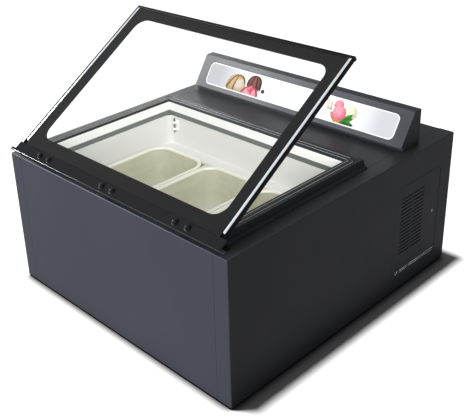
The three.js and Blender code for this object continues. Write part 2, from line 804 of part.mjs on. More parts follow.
function powerInlet() {
  const { x, z, halfWidth: hw, halfHeight: hh, depth: deep } = inlet;
  const y1 = depth;
  const body = block(x - hw, y1 - deep, z - hh, x + hw, y1, z + hh);
  const socket = block(x - hw + 4, y1 - deep + 4, z - hh + 3, x + hw - 4, y1 + 1, z + hh - 3);
  const blades = [-7, 0, 7].map((offset) => {
    const dz = offset === 0 ? 2 : -2;
    return block(x + offset - 1, y1 - deep + 2, z + dz - 2, x + offset + 1, y1 - 8, z + dz + 2);
  });
  return join(cut(body, socket), ...blades);
}

// ---------------------------------------------------------------- assembly

const freezer = new THREE.Group();

const tilt = THREE.MathUtils.degToRad(lidTilt);
const frontMost = hinge.y + lidBar.front * Math.cos(tilt) - lid.high * Math.sin(tilt);
freezer.position.y = -(depth + frontMost) / 2;

piece(freezer, "base_tray", baseTray(), paint.galvanised);
piece(freezer, "front_panel", frontPanel(), paint.charcoal);
piece(freezer, "left_side_panel", sidePanel(-1), paint.charcoal);
piece(freezer, "right_side_panel", rightSidePanel(), paint.charcoal);
piece(freezer, "rear_panel", rearPanel(), paint.charcoal);
piece(freezer, "side_cover", sideCover(), paint.charcoal);
piece(freezer, "side_cover_screw", sideScrew(), paint.pinSteel);
piece(freezer, "top_deck", topDeck(), paint.charcoalTop);
piece(freezer, "rear_service_cover", rearServiceCover(), paint.charcoalTop);

for (const [sideName, side] of [["left", -1], ["right", 1]]) {
  for (const [endName, y] of [["front", foot.insetY], ["rear", depth - foot.insetY]]) {
    const rubber = piece(freezer, `foot_${endName}_${sideName}`, rubberFoot(), paint.rubber);
    rubber.position.set(side * (halfWidth - foot.insetX), y, 0);
  }
}

piece(freezer, "opening_frame", openingFrame(), paint.frameGrey);
piece(freezer, "opening_collar", band(collar.wall, collar.low, collar.high), paint.whitePlastic);
piece(freezer, "lid_gasket", band(gasket.wall, gasket.low, collar.low - gap), paint.gasketGrey);
piece(freezer, "inner_liner", innerLiner(), paint.linerWhite);
piece(freezer, "foam_tub", foamTub(), paint.foamYellow);
piece(freezer, "evaporator_coil", evaporatorCoil(), paint.copper);
piece(freezer, "temperature_probe", temperatureProbe(), paint.whitePlastic);
piece(freezer, "pan_rack", panRack(), paint.steel);

["left", "middle", "right"].forEach((name, place) => {
  const container = piece(freezer, `pan_${name}`, pressedPan(), paint.steel);
  container.position.set((place - 1) * pan.pitch, panCentreY, 0);
});

piece(freezer, "sign_housing", signHousing(), paint.charcoal);
piece(freezer, "sign_lens", signLens(), paint.lens);
piece(freezer, "sign_light_board", signLightBoard(), paint.board);
piece(freezer, "sign_back_cover", signBackCover(), paint.charcoal);
piece(freezer, "hinge_rail", hingeRail(), paint.blackEnamel);

const lidGroup = new THREE.Group();
lidGroup.position.set(0, hinge.y, hinge.z);
lidGroup.rotation.x = tilt;
freezer.add(lidGroup);

piece(lidGroup, "lid_frame", lidFrame(), paint.lidBlack);
piece(lidGroup, "lid_glass", lidGlass(), paint.glass);
piece(lidGroup, "lid_strip_left", lidSideStrip(-1), paint.aluminium);
piece(lidGroup, "lid_strip_right", lidSideStrip(1), paint.aluminium);
piece(lidGroup, "lid_hinge_bar", lidHingeBar(), paint.lidBlack);
piece(lidGroup, "lid_handle_rail", lidHandleRail(), paint.lidBlack);

["left", "middle", "right"].forEach((name, place) => {
  const centre = hingeCentres[place];
  piece(lidGroup, `hinge_leaf_${name}`, hingeLeaf(centre), paint.blackEnamel);
  piece(lidGroup, `hinge_pin_${name}`, hingePin(centre), paint.pinSteel);
  [-1, 1].forEach((side, which) => {
    const x = centre + side * lidScrew.offset;
    piece(lidGroup, `lid_screw_${place * 2 + which + 1}`, lidScrewSolid(x), paint.blackPlastic);
  });
});

piece(freezer, "compressor", compressorPot(), paint.blackEnamel);
piece(freezer, "condenser", condenserBlock(), paint.fin);
piece(freezer, "fan_shroud", fanShroud(), paint.galvanised);
piece(freezer, "fan_motor", fanMotor(), paint.blackEnamel);
piece(freezer, "fan_rotor", fanRotor(), paint.blackPlastic);

piece(freezer, "controls_plate", controlsPlate(), paint.blackPlastic);
piece(freezer, "key_up", pushKey(key.upX), paint.keyGrey);
piece(freezer, "key_down", pushKey(key.downX), paint.keyGrey);
piece(freezer, "power_rocker", rockerKey(), paint.blackPlastic);
piece(freezer, "power_inlet", powerInlet(), paint.blackPlastic);

export default freezer;
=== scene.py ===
# Looks of the countertop ice-cream display freezer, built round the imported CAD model.
# Metres, in the row frame: +X to the right seen from the front, +Y to the back, +Z up.

import json
import math

import bmesh
import bpy
from mathutils import Matrix, Vector
from mathutils.geometry import interpolate_bezier

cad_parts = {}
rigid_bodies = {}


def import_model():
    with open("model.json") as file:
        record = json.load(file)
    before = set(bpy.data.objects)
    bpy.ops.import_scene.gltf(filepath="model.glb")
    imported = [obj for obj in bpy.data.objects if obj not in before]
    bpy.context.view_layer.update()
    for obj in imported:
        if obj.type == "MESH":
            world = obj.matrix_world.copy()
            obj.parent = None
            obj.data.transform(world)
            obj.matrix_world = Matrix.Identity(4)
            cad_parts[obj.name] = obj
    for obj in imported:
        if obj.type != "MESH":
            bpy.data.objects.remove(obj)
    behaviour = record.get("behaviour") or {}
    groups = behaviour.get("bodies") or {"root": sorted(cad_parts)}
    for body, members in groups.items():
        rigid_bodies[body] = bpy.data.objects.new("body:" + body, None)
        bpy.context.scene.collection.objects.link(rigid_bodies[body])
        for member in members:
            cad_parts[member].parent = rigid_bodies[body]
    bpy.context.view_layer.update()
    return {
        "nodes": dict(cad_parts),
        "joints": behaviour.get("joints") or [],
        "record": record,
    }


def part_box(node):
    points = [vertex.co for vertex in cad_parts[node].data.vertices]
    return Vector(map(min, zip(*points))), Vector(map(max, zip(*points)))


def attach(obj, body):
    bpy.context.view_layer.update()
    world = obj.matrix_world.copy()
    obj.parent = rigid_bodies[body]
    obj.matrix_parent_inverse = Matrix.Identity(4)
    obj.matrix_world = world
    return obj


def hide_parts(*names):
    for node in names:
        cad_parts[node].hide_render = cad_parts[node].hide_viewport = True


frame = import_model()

MM = 0.001
SLOT = {part["node"]: part["material_slot"] for part in frame["record"]["subparts"]}
BODY = {node: body for body, nodes in frame["record"]["behaviour"]["bodies"].items() for node in nodes}
SIDES = {"left": -1, "right": 1}
PANS = ("pan_left", "pan_middle", "pan_right")


# ---- shader nodes and materials


def rgb(red, green, blue):
    """A linear colour from the 0-255 values that a screen shows."""
    def linear(value):
        share = value / 255
        return share / 12.92 if share <= 0.04045 else ((share + 0.055) / 1.055) ** 2.4
    return (linear(red), linear(green), linear(blue), 1)


class Nodes:
    """Short ways to make and link the nodes of one shader tree."""

    def __init__(self, owner):
        owner.use_nodes = True
        self.nodes = owner.node_tree.nodes
        self.links = owner.node_tree.links

    def fill(self, node, inputs):
        """Gives each named input its value, or links the socket that feeds it."""
        for name, value in inputs.items():
            if isinstance(value, bpy.types.NodeSocket):
                self.links.new(value, node.inputs[name])
            else:
                node.inputs[name].default_value = value
        return node

    def node(self, kind, inputs):
        return self.fill(self.nodes.new(kind), inputs)

    def maths(self, operation, *values):
        made = self.node("ShaderNodeMath", dict(enumerate(values)))
        made.operation = operation
        return made.outputs["Value"]

    def mixed(self, factor, first, second, blend="MIX"):
        made = self.nodes.new("ShaderNodeMix")
        made.data_type = "RGBA"
        made.blend_type = blend
        return self.fill(made, {"Factor": factor, "A": first, "B": second}).outputs["Result"]

    def ranged(self, source, low, high, start=0.3, end=0.7):
        inputs = {"Value": source, "From Min": start, "From Max": end, "To Min": low, "To Max": high}
        return self.node("ShaderNodeMapRange", inputs).outputs["Result"]

    def seen_directly(self):
        """1 for what the camera sees, straight or through the glass, and 0 for light that bounces."""
        path = self.nodes.new("ShaderNodeLightPath").outputs
        unmirrored = self.maths("LESS_THAN", path["Glossy Depth"], 0.5)
        through = self.maths("MULTIPLY", path["Is Transmission Ray"], unmirrored)
        return self.maths("MAXIMUM", path["Is Camera Ray"], through)


class Surface(Nodes):
    """A Principled material with helpers that add procedural detail to it."""

    def __init__(self, name, colour, roughness, metallic=0.0, **sockets):
        self.material = bpy.data.materials.new(name)
        super().__init__(self.material)
        self.shader = self.nodes["Principled BSDF"]
        self.colour = colour
        self.roughness = roughness
        self.set("Base Color", colour)
        self.set("Roughness", roughness)
        self.set("Metallic", metallic)
        for socket, value in sockets.items():
            self.set(socket.replace("_", " "), value)

    def set(self, socket, value):
        self.fill(self.shader, {socket: value})
        return self

    def coordinates(self, stretch=(1, 1, 1)):
        place = self.nodes.new("ShaderNodeTexCoord").outputs["Object"]
        return self.node("ShaderNodeMapping", {"Vector": place, "Scale": stretch}).outputs["Vector"]

    def along(self, axis):
        """The object's own coordinate along one axis."""
        return self.node("ShaderNodeSeparateXYZ", {"Vector": self.coordinates()}).outputs[axis]

    def noise(self, scale, detail=3.0, stretch=(1, 1, 1)):
        inputs = {"Vector": self.coordinates(stretch), "Scale": scale, "Detail": detail}
        return self.node("ShaderNodeTexNoise", inputs).outputs["Fac"]

    def mottle(self, scale, amount, detail=3.0, stretch=(1, 1, 1)):
        """Slow changes of shade round the base colour."""
        dark = tuple(channel * (1 - amount) for channel in self.colour[:3]) + (1,)
        light = tuple(min(channel * (1 + amount), 1) for channel in self.colour[:3]) + (1,)
        factor = self.ranged(self.noise(scale, detail, stretch), 0, 1)
        return self.set("Base Color", self.mixed(factor, dark, light))

    def smudge(self, scale, amount, detail=4.0, stretch=(1, 1, 1)):
        """Changes of gloss, as handling and cleaning leave."""
        low, high = self.roughness - amount, self.roughness + amount
        return self.set("Roughness", self.ranged(self.noise(scale, detail, stretch), low, high))

    def relief(self, scale, height, detail=2.0, stretch=(1, 1, 1)):
        inputs = {"Height": self.noise(scale, detail, stretch), "Distance": height, "Strength": 1}
        return self.set("Normal", self.node("ShaderNodeBump", inputs).outputs["Normal"])


def powder_coat(name, colour, roughness=0.42):
    """Satin powder coat on steel: fine orange peel, faint clouds in shade and gloss."""
    surface = Surface(name, colour, roughness, Specular_IOR_Level=0.35)
    return surface.mottle(5, 0.05).smudge(9, 0.05).relief(700, 0.00003)


def moulded(name, colour, roughness, amount=0.04, gloss=0.4):
    """Injection-moulded plastic: fine spark grain and slight shade changes."""
    surface = Surface(name, colour, roughness, Specular_IOR_Level=gloss)
    return surface.mottle(8, amount).smudge(30, 0.04).relief(1400, 0.00002)


def crumbly(name, colour, roughness, blotches, amount, grain, height):
    """Foam or rubber: blotchy, with a coarse grain."""
    return Surface(name, colour, roughness).mottle(blotches, amount).relief(grain, height)


def drawn_steel(name, colour, roughness, stretch=(1, 1, 1), metallic=1.0):
    """Deep-drawn or rolled metal: streaks along one direction in shade, gloss and relief."""
    surface = Surface(name, colour, roughness, metallic)
    surface.mottle(60, 0.06, 4, stretch)
    surface.smudge(90, 0.07, 4, stretch)
    return surface.relief(400, 0.00002, 3, stretch)


def pan_steel(name):
    """Drawn steel, paler on the pan's floor in painted light, and paler along the top of its rim."""
    surface = drawn_steel(name, rgb(220, 220, 198), 0.36, (1, 0.25, 1), 0.3)
    tone = surface.shader.inputs["Base Color"].links[0].from_socket
    height = surface.along("Z")
    low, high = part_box("pan_left")
    # painted light: the colour turns paler towards the pan's floor, where more light falls
    painted_floor_light = surface.ranged(height, 1, 0, low.z + 20 * MM, low.z + 75 * MM)
    # a paler band along the top of the rim
    pale_rim = surface.ranged(height, 0, 1, high.z - 5 * MM, high.z - 3 * MM)
    lower = surface.mixed(painted_floor_light, tone, rgb(250, 248, 244))
    return surface.set("Base Color", surface.mixed(pale_rim, lower, rgb(252, 252, 240)))


def galvanised_steel(name):
    """Zinc spangle: facets of slightly different grey."""
    surface = Surface(name, rgb(150, 154, 157), 0.42, 0.9)
    cells = surface.node("ShaderNodeTexVoronoi", {"Vector": surface.coordinates(), "Scale": 140})
    grey = surface.node("ShaderNodeRGBToBW", {"Color": cells.outputs["Color"]}).outputs["Val"]
    tone = surface.ranged(grey, 0, 1, 0.2, 0.8)
    surface.set("Base Color", surface.mixed(tone, rgb(136, 140, 143), rgb(168, 171, 174)))
    return surface.smudge(140, 0.08)


def clear_glass(name):
    return Surface(name, (0.985, 0.99, 0.988, 1), 0.0, Transmission_Weight=1.0, IOR=1.45)


def lit_lens(name):
    """Opal acrylic over the light board: whitest in the middle of the sign, greyer at its ends in painted
    shade.
    """
    surface = Surface(name, (0.9, 0.9, 0.92, 1), 0.28, Emission_Strength=0.42)
    surface.set("Emission Color", (1, 1, 1, 1))
    distance = surface.maths("ABSOLUTE", surface.along("X"))
    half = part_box("sign_lens")[1].x
    # painted shade: the lens colour greys towards the sign's ends
    painted_end_shade = surface.ranged(distance, 0, 1, half * 0.5, half * 0.85)
    surface.set("Base Color", surface.mixed(painted_end_shade, (0.7, 0.7, 0.7, 1), (0.27, 0.265, 0.29, 1)))
    return surface.relief(900, 0.00001)


MATERIALS = {
    "charcoal_paint": (powder_coat, rgb(57, 58, 64)),
    "galvanised": (galvanised_steel,),
    "frame_trim": (moulded, rgb(44, 46, 48), 0.3, 0.04, 0.2),
    "white_plastic": (moulded, rgb(253, 253, 253), 0.3, 0.01),
    "gasket": (moulded, rgb(110, 116, 114), 0.55),
    "liner_white": (moulded, rgb(229, 229, 227), 0.35, 0.02),
    "foam": (crumbly, rgb(216, 200, 138), 0.95, 120, 0.12, 500, 0.0006),
    "copper": (drawn_steel, rgb(196, 122, 84), 0.3),
    "pan_steel": (pan_steel,),
    "lid_black": (moulded, rgb(7, 7, 9), 0.4, 0.04, 0.26),
    "bright_strip": (drawn_steel, rgb(228, 230, 232), 0.25, (1, 0.1, 0.1), 0.2),
    "glass": (clear_glass,),
    "lens": (lit_lens,),
    "light_board": (moulded, rgb(226, 227, 222), 0.45),
    "black_plastic": (moulded, rgb(24, 24, 27), 0.36),
    "black_enamel": (powder_coat, rgb(22, 23, 26), 0.28),
    "fins": (drawn_steel, rgb(188, 191, 194), 0.35, (1, 1, 0.1)),
    "pin_steel": (drawn_steel, rgb(190, 192, 194), 0.25, (0.1, 1, 1)),
    "rubber": (crumbly, rgb(26, 26, 26), 0.8, 90, 0.15, 900, 0.00006),
    "key_grey": (moulded, rgb(141, 145, 150), 0.45),
}
FINISH = {slot: make(slot, *values).material for slot, (make, *values) in MATERIALS.items()}
POLISHED = drawn_steel("polished_edge", rgb(150, 152, 160), 0.16, (0.1, 1, 1)).material
BAR_BLACK = moulded("bar_black", rgb(30, 29, 31), 0.42).material


# ---- mesh tools


def mesh_from(name, bm):
    mesh = bpy.data.meshes.new(name)
    bm.to_mesh(mesh)
    bm.free()
    return mesh


def as_object(name, bm):
    made = bpy.data.objects.new(name, mesh_from(name, bm))
    bpy.context.scene.collection.objects.link(made)
    return made


def add(name, bm, body, slot, replaced=(), finish=None):
    """Turns a bmesh into a piece that rides on a body and stands for CAD nodes."""
    bmesh.ops.recalc_face_normals(bm, faces=bm.faces[:])
    piece = as_object(name, bm)
    mesh = piece.data
    mesh.polygons.foreach_set("use_smooth", [True] * len(mesh.polygons))
    mesh.set_sharp_from_angle(angle=math.radians(32))
    mesh.materials.append(finish or FINISH[slot])
    flatten = piece.modifiers.new("flat faces stay flat", "WEIGHTED_NORMAL")
    flatten.keep_sharp = True
    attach(piece, body)
    if replaced:
        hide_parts(*replaced)
    return piece


def merged(target, *others):
    """Adds other bmeshes to the first one."""
    for other in others:
        mesh = mesh_from("part", other)
        target.from_mesh(mesh)
        bpy.data.meshes.remove(mesh)
    return target


def bevelled(bm, edges, width, segments):
    bmesh.ops.bevel(
        bm, geom=edges, offset=width, segments=segments, profile=0.5, affect="EDGES", clamp_overlap=True
    )
    return bm


def soften(bm, width, segments=2, angle=30):
    """Rounds every edge that turns by more than the angle."""
    limit = math.radians(angle)
    sharp = [edge for edge in bm.edges if edge.is_manifold and edge.calc_face_angle() > limit]
    return bevelled(bm, sharp, width, segments)


def node_shape(node):
    """The CAD node's own shape with its flat faces made whole, ready for finer work."""
    bm = bmesh.new()
    bm.from_mesh(frame["nodes"][node].data)
    bmesh.ops.remove_doubles(bm, verts=bm.verts[:], dist=0.00001)
    bmesh.ops.dissolve_limit(bm, angle_limit=math.radians(1), verts=bm.verts[:], edges=bm.edges[:])
    return bm


def block(low, high, radius=0.0, segments=2):
    bm = bmesh.new()
    bmesh.ops.create_cube(bm, size=1)
    size = Vector(high) - Vector(low)
    middle = (Vector(high) + Vector(low)) / 2
    bmesh.ops.scale(bm, vec=size, verts=bm.verts)
    bmesh.ops.translate(bm, vec=middle, verts=bm.verts)
    if radius:
        soften(bm, radius, segments)
    return bm


def at_angles(centre, radius, angles):
    """Points round a centre in a plane; angles in degrees."""
    turns = [math.radians(angle) for angle in angles]
    return [(centre[0] + radius * math.cos(a), centre[1] + radius * math.sin(a)) for a in turns]


def arc(centre, radius, start, end, steps=6):
    return at_angles(centre, radius, [start + (end - start) * k / steps for k in range(steps + 1)])


def circle(radius, sides):
    return arc((0, 0), radius, 0, 360, sides)[:-1]


def dome(radius, base, height, angles):
    """(radius, height) points down a dome or up a bowl; angles from its pole, in radians."""
    return [(radius * math.sin(a), base + height * math.cos(a)) for a in angles]


def rounded_loop(x0, y0, x1, y1, radius, segments=8):
    """Points round a rectangle with rounded corners, anticlockwise."""
    left, right, low, high = x0 + radius, x1 - radius, y0 + radius, y1 - radius
    points = []
    for centre, start in (((right, low), -90), ((right, high), 0), ((left, high), 90), ((left, low), 180)):
        points += arc(centre, radius, start, start + 90, segments)
    return points


def box_loop(low, high, grow, radius, segments=8):
    """Points round a box seen from above, grown or shrunk sideways."""
    return rounded_loop(low.x - grow, low.y - grow, high.x + grow, high.y + grow, radius, segments)


def plate(outline, holes=(), thickness=0.001, edge=0.0003, segments=2):
    """A flat plate in XY with rounded rims; its top is at z = 0."""
    curve = bpy.data.curves.new("plate", "CURVE")
    curve.dimensions = "2D"
    curve.fill_mode = "BOTH"
    curve.extrude = thickness / 2 - edge
    curve.bevel_depth = edge
    curve.bevel_resolution = segments - 1
    curve.offset = -edge
    for loop in (outline, *holes):
        spline = curve.splines.new("POLY")
        spline.points.add(len(loop) - 1)
        for point, (x, y) in zip(spline.points, loop):
            point.co = (x, y, 0, 1)
        spline.use_cyclic_u = True
    source = bpy.data.objects.new("plate", curve)
    mesh = bpy.data.meshes.new_from_object(source)
    bm = bmesh.new()
    bm.from_mesh(mesh)
    bmesh.ops.remove_doubles(bm, verts=bm.verts[:], dist=0.000002)
    bmesh.ops.translate(bm, vec=(0, 0, -thickness / 2), verts=bm.verts[:])
    bpy.data.objects.remove(source)
    bpy.data.curves.remove(curve)
    bpy.data.meshes.remove(mesh)
    return bm


def placed(bm, matrix):
    bmesh.ops.transform(bm, matrix=matrix, verts=bm.verts[:])
    return bm


def shifted(bm, *offset):
    return placed(bm, Matrix.Translation(offset))


def slab(outline, holes, bottom, top, edge):
    """A flat plate between two heights."""
    return shifted(plate(outline, holes, top - bottom, edge, 3), 0, 0, top)


def loft(rings, closed=False, caps=True):
    """Skins a row of rings of points; closed joins the last ring to the first."""
    bm = bmesh.new()
    made = [[bm.verts.new(point) for point in ring] for ring in rings]
    pairs = list(zip(made, made[1:]))
    if closed:
        pairs.append((made[-1], made[0]))
    for low, high in pairs:
        for k in range(len(low)):
            after = (k + 1) % len(low)
            bm.faces.new((low[k], low[after], high[after], high[k]))
    if caps and not closed:
        bm.faces.new(list(reversed(made[0])))
        bm.faces.new(made[-1])
    return bm


def lathe(profile, sides=40):
    """Turns (radius, height) points round Z. Points on the axis close it."""
    bm = loft([[(x, y, height) for x, y in circle(radius, sides)] for radius, height in profile])
    bmesh.ops.remove_doubles(bm, verts=bm.verts[:], dist=0.000001)
    return bm


def along_x(outline, x0, x1):
    """A prism along X from an outline of (y, z) points."""
    return loft([[(x, y, z) for y, z in outline] for x in (x0, x1)])


def tube(points, radius, sides=12):
    """A round tube along a row of points, with flat ends."""
    rings = []
    path = [Vector(point) for point in points]
    normal = None
    for k, point in enumerate(path):
        ahead = path[min(k + 1, len(path) - 1)]
        behind = path[max(k - 1, 0)]
        direction = (ahead - behind).normalized()
        if normal is None:
            normal = direction.orthogonal().normalized()
        normal = (normal - direction * normal.dot(direction)).normalized()
        side = direction.cross(normal)
        rings.append([point + normal * u + side * v for u, v in circle(radius, sides)])
    return loft(rings)


def carve(bm, *cutters):
    """Cuts closed shapes out of a closed shape."""
    made = []
    for shape in (bm, *cutters):
        bmesh.ops.recalc_face_normals(shape, faces=shape.faces[:])
        made.append(as_object("carve", shape))
    target, *tools = made
    for tool in tools:
        modifier = target.modifiers.new("cut", "BOOLEAN")
        modifier.operation = "DIFFERENCE"
        modifier.solver = "EXACT"
        modifier.object = tool
    result = bmesh.new()
    result.from_object(target, bpy.context.evaluated_depsgraph_get())
    for spent in made:
        mesh = spent.data
        bpy.data.objects.remove(spent)
        bpy.data.meshes.remove(mesh)
    return result


def tub(rings, thickness):
    """An open tub from the rings of its inner face, mouth first, with its sheet outside them."""
    bm = loft(rings, caps=False)
    bmesh.ops.contextual_create(bm, geom=bm.verts[-len(rings[-1]):])
    bmesh.ops.recalc_face_normals(bm, faces=bm.faces[:])
    upward = sum(face.normal.z * face.calc_area() for face in bm.faces) > 0
    bmesh.ops.solidify(bm, geom=bm.faces[:], thickness=thickness if upward else -thickness)
    return bm


def cross_recess(x, y, wide, narrow, bottom, top):
    """Two crossed blocks that cut a screwdriver's recess."""
    halves = ((wide, narrow), (narrow, wide))
    return [block((x - across, y - along, bottom), (x + across, y + along, top)) for across, along in halves]


def swap_axes(columns, origin=(0, 0, 0)):
    """A placement whose X, Y and Z axes point along the given directions."""
    axes = Matrix([Vector(column) for column in columns]).transposed().to_4x4()
    return Matrix.Translation(origin) @ axes


def on_right(x):
    """Places a shape drawn in (y, z) on the right side; its top faces +X."""
    return swap_axes(((0, 1, 0), (0, 0, 1), (1, 0, 0)), (x, 0, 0))


def on_rear(y):
    """Places a shape drawn in (-x, z) on the back; its top faces +Y."""
    return swap_axes(((-1, 0, 0), (0, 0, 1), (0, 1, 0)), (0, y, 0))


# ---- camera, floor and light


def facing(azimuth, elevation):
    """Direction from the object towards a viewer; azimuth 0 is straight in front."""
    a, e = math.radians(azimuth), math.radians(elevation)
    return Vector((math.sin(a) * math.cos(e), -math.cos(a) * math.cos(e), math.sin(e)))


def make_camera():
    data = bpy.data.cameras.new("camera")
    data.sensor_width = 36
    data.lens = 62.85
    data.shift_x = 0.10
    data.shift_y = -0.11
    camera = bpy.data.objects.new("camera", data)
    bpy.context.scene.collection.objects.link(camera)
    level = facing(47.74, 24.98).to_track_quat("Z", "Y").to_matrix().to_4x4()
    roll = Matrix.Rotation(math.radians(-2.84), 4, "Z")
    camera.matrix_world = Matrix.Translation((1.2131, -1.2443, 1.1103)) @ level @ roll
    bpy.context.scene.camera = camera


def make_floor():
    """A pale disc that darkens close to whatever stands on it, a painted contact shadow."""
    bm = bmesh.new()
    bmesh.ops.create_circle(bm, cap_ends=True, radius=30, segments=96)
    surface = Surface("floor", rgb(255, 255, 255), 0.9, Specular_IOR_Level=0.0)
    tone = surface.mixed(surface.seen_directly(), (0.06, 0.06, 0.06, 1), (0.27, 0.27, 0.27, 1))
    # painted contact shadow: ambient occlusion darkens the floor's colour next to the object
    contact = surface.node("ShaderNodeAmbientOcclusion", {"Distance": 28 * MM})
    contact.samples = 16
    shade = surface.ranged(contact.outputs["AO"], 0.1, 1, 0.5, 0.9)
    surface.set("Base Color", surface.mixed(1, tone, shade, "MULTIPLY"))
    floor = as_object("floor", bm)
    floor.data.materials.append(surface.material)


def aimed(name, data, place, target):
    light = bpy.data.objects.new(name, data)
    bpy.context.scene.collection.objects.link(light)
    light.location = place
    light.rotation_euler = (Vector(target) - Vector(place)).to_track_quat("-Z", "Y").to_euler()
    return light


def light_set(pieces, state="INCLUDE"):
    """A set of pieces that a light reaches alone, or with EXCLUDE leaves out."""
    made = bpy.data.collections.new("light set")
    for piece in pieces:
        made.objects.link(piece)
    for member in made.collection_objects:
        member.light_linking.link_state = state
    return made


def area_light(name, place, target, size, power, reaches, colour=(1, 1, 1)):
    """A soft box that lights matt surfaces and shows in no mirror."""
    data = bpy.data.lights.new(name, "AREA")
    data.shape = "RECTANGLE"
    data.size, data.size_y = size
    data.energy = power
    data.color = colour
    light = aimed(name, data, place, target)
    light.visible_glossy = False
    light.visible_transmission = False
    light.light_linking.receiver_collection = reaches
    return light


def reflector(name, place, target, size, power, reaches):
    """A bright card that only shows as a reflection."""
    card = area_light(name, place, target, size, power, reaches)
    card.visible_glossy = True
    card.visible_diffuse = False


INSIDE = ("opening_collar", "lid_gasket", "inner_liner", "temperature_probe", "pan_rack", *PANS)
UNMIRRORING = ("lid_frame", "lid_glass", "lid_hinge_bar", "sign_lens")
CABINET_SHELL = (
    "front_panel", "left_side_panel", "right_side_panel", "side_cover", "rear_panel", "base_tray",
    "top_deck", "foam_tub",
)


def pieces_of(nodes):
    return [bpy.data.objects[f"{node}_piece"] for node in nodes]


def pieces_named(start):
    return [piece for piece in bpy.data.objects if piece.name.startswith(start)]


def floor_light(floor):
    """Steep light on the floor alone, which gives the short dark shadow on the right."""
    data = bpy.data.lights.new("floor light", "SUN")
    data.energy = 13.5
    data.angle = math.radians(5.0)
    light = aimed("floor light", data, (-0.31, -0.22, 2.45), (0, 0, 0))
    light.light_linking.receiver_collection = light_set([floor])
    light.light_linking.blocker_collection = light_set(pieces_of(CABINET_SHELL))


def make_lights():
    """Lights and bright cards, each with the pieces that it reaches, once they are all made."""
    floor, bead = bpy.data.objects["floor"], bpy.data.objects["lid_hinge_bar_edge"]
    inner = pieces_of(INSIDE)
    inside, outside = light_set(inner), light_set([floor, *inner], "EXCLUDE")
    dull = [floor, bead, *inner, *pieces_of(UNMIRRORING), *pieces_named("picture_")]
    mirrors = light_set(dull, "EXCLUDE")
    floor_light(floor)
    area_light("key", (-0.9, -5.1, 1.3), (0, 0, 0.2), (2.4, 1.8), 355, outside, (0.93, 1.0, 1.07))
    area_light("top", (-0.2, 0.4, 2.6), (0, 0, 0.3), (2.0, 2.0), 8, outside)
    well = area_light("well", (1.25, -1.25, 1.15), (0, 0, 0.2), (1.6, 1.6), 54, inside, (1.0, 1.0, 0.98))
    well.visible_glossy = True
    area_light("well top", (0.2, -0.1, 2.4), (0, 0, 0.2), (1.4, 1.4), 8, inside)
    reflector("front left card", (-2.42, -1.32, 1.79), (0, 0.2, 0.38), (1.6, 1.2), 115, mirrors)
    reflector("back left card", (-2.5, 1.6, 1.4), (0, 0.2, 0.3), (1.4, 0.9), 13, mirrors)
    reflector("bar card", (-2.3, -1.15, 1.5), (-0.3, -0.37, 0.35), (0.6, 0.6), 32, light_set([bead]))
    hem = light_set(pieces_named("side_cover_hem"))
    reflector("hem card", (0.9, 2.4, 2.7), (0.35, 0.2, 0.1), (1.6, 1.6), 55, hem)


def make_world():
    world = bpy.data.worlds.new("studio")
    bpy.context.scene.world = world
    tree = Nodes(world)
    tone = tree.mixed(tree.seen_directly(), (0.27, 0.27, 0.272, 1), (1, 1, 1, 1))
    tree.fill(tree.nodes["Background"], {"Color": tone})


def make_stage():
    bpy.context.scene.view_settings.view_transform = "Standard"
    make_camera()
    make_floor()
    make_world()


# ---- the lid's and the sign's own frames


def lid_placement():
    joint = next(item for item in frame["joints"] if item["name"] == "lid_hinge")
    tilt = math.radians(-joint["range_deg"][0])
    return Matrix.Translation(joint["pos_m"]) @ Matrix.Rotation(tilt, 4, "X")


SIGN_LOW, SIGN_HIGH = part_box("sign_housing")
SIGN_LIP = 10.7 * MM       # height of the sloping face's lower edge over the housing's underside
SIGN_RECESS = 9 * MM       # how far the foot is set back under that edge
SIGN_RIDGE = 47.5 * MM     # how far the top's front edge lies behind it


def sign_placement():
    """Places a shape drawn on the sign's sloping face; its top faces out."""
    foot = SIGN_LOW.z + SIGN_LIP
    slope = Vector((0, SIGN_RIDGE, SIGN_HIGH.z - foot)).normalized()
    outwards = Vector((1, 0, 0)).cross(slope)
    return swap_axes(((1, 0, 0), slope, outwards), (0, SIGN_LOW.y, foot))


LID = lid_placement()
SIGN = sign_placement()


def box_in(placement, node):
    """A node's lowest and highest corners, measured in another frame."""
    inverse = placement.inverted()
    points = [inverse @ vertex.co for vertex in frame["nodes"][node].data.vertices]
    return [Vector([pick(point[k] for point in points) for k in range(3)]) for pick in (min, max)]


def lid_box(node):
    """A lid node's corners in the lid's own frame: origin on the hinge axis, +Y up the glass."""
    return box_in(LID, node)


# ---- pieces made from their CAD node


def stand_in(node, bm):
    """A finer piece for one CAD node, on the node's own body and in its own finish."""
    return add(f"{node}_piece", bm, BODY[node], SLOT[node], (node,))


def softened(node, radius, segments=2, angle=30):
    """The CAD node's shape with every hard edge rounded."""
    return stand_in(node, soften(node_shape(node), radius, segments, angle))


# ---- cabinet panels


SHEET = 1.2 * MM
BEND = 2.4 * MM
FRONT, TOP, LEFT, RIGHT = (0, -1, 0), (0, 0, 1), (-1, 0, 0), (1, 0, 0)


def folded_sheet(node, kept):
    """A sheet bent round the kept sides of a node's box, rounded at the bends."""
    bm = block(*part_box(node))
    def facing_out(face):
        return max(face.normal.dot(Vector(direction)) for direction in kept)
    bends = [edge for edge in bm.edges if all(facing_out(face) > 0.9 for face in edge.link_faces)]
    bevelled(bm, bends, BEND, 5)
    bm.normal_update()
    gone = [face for face in bm.faces if facing_out(face) < 0.1]
    bmesh.ops.delete(bm, geom=gone, context="FACES")
    bmesh.ops.solidify(bm, geom=bm.faces[:], thickness=SHEET)
    return bm


COVER_CORNER = 14 * MM
HEM = 0.5 * MM             # radius of the two bright beads along the cover's lower edge


def cover_loop(grow):
    low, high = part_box("side_cover")
    return rounded_loop(low.y - grow, low.z - grow, high.y + grow, high.z + grow, COVER_CORNER + grow)


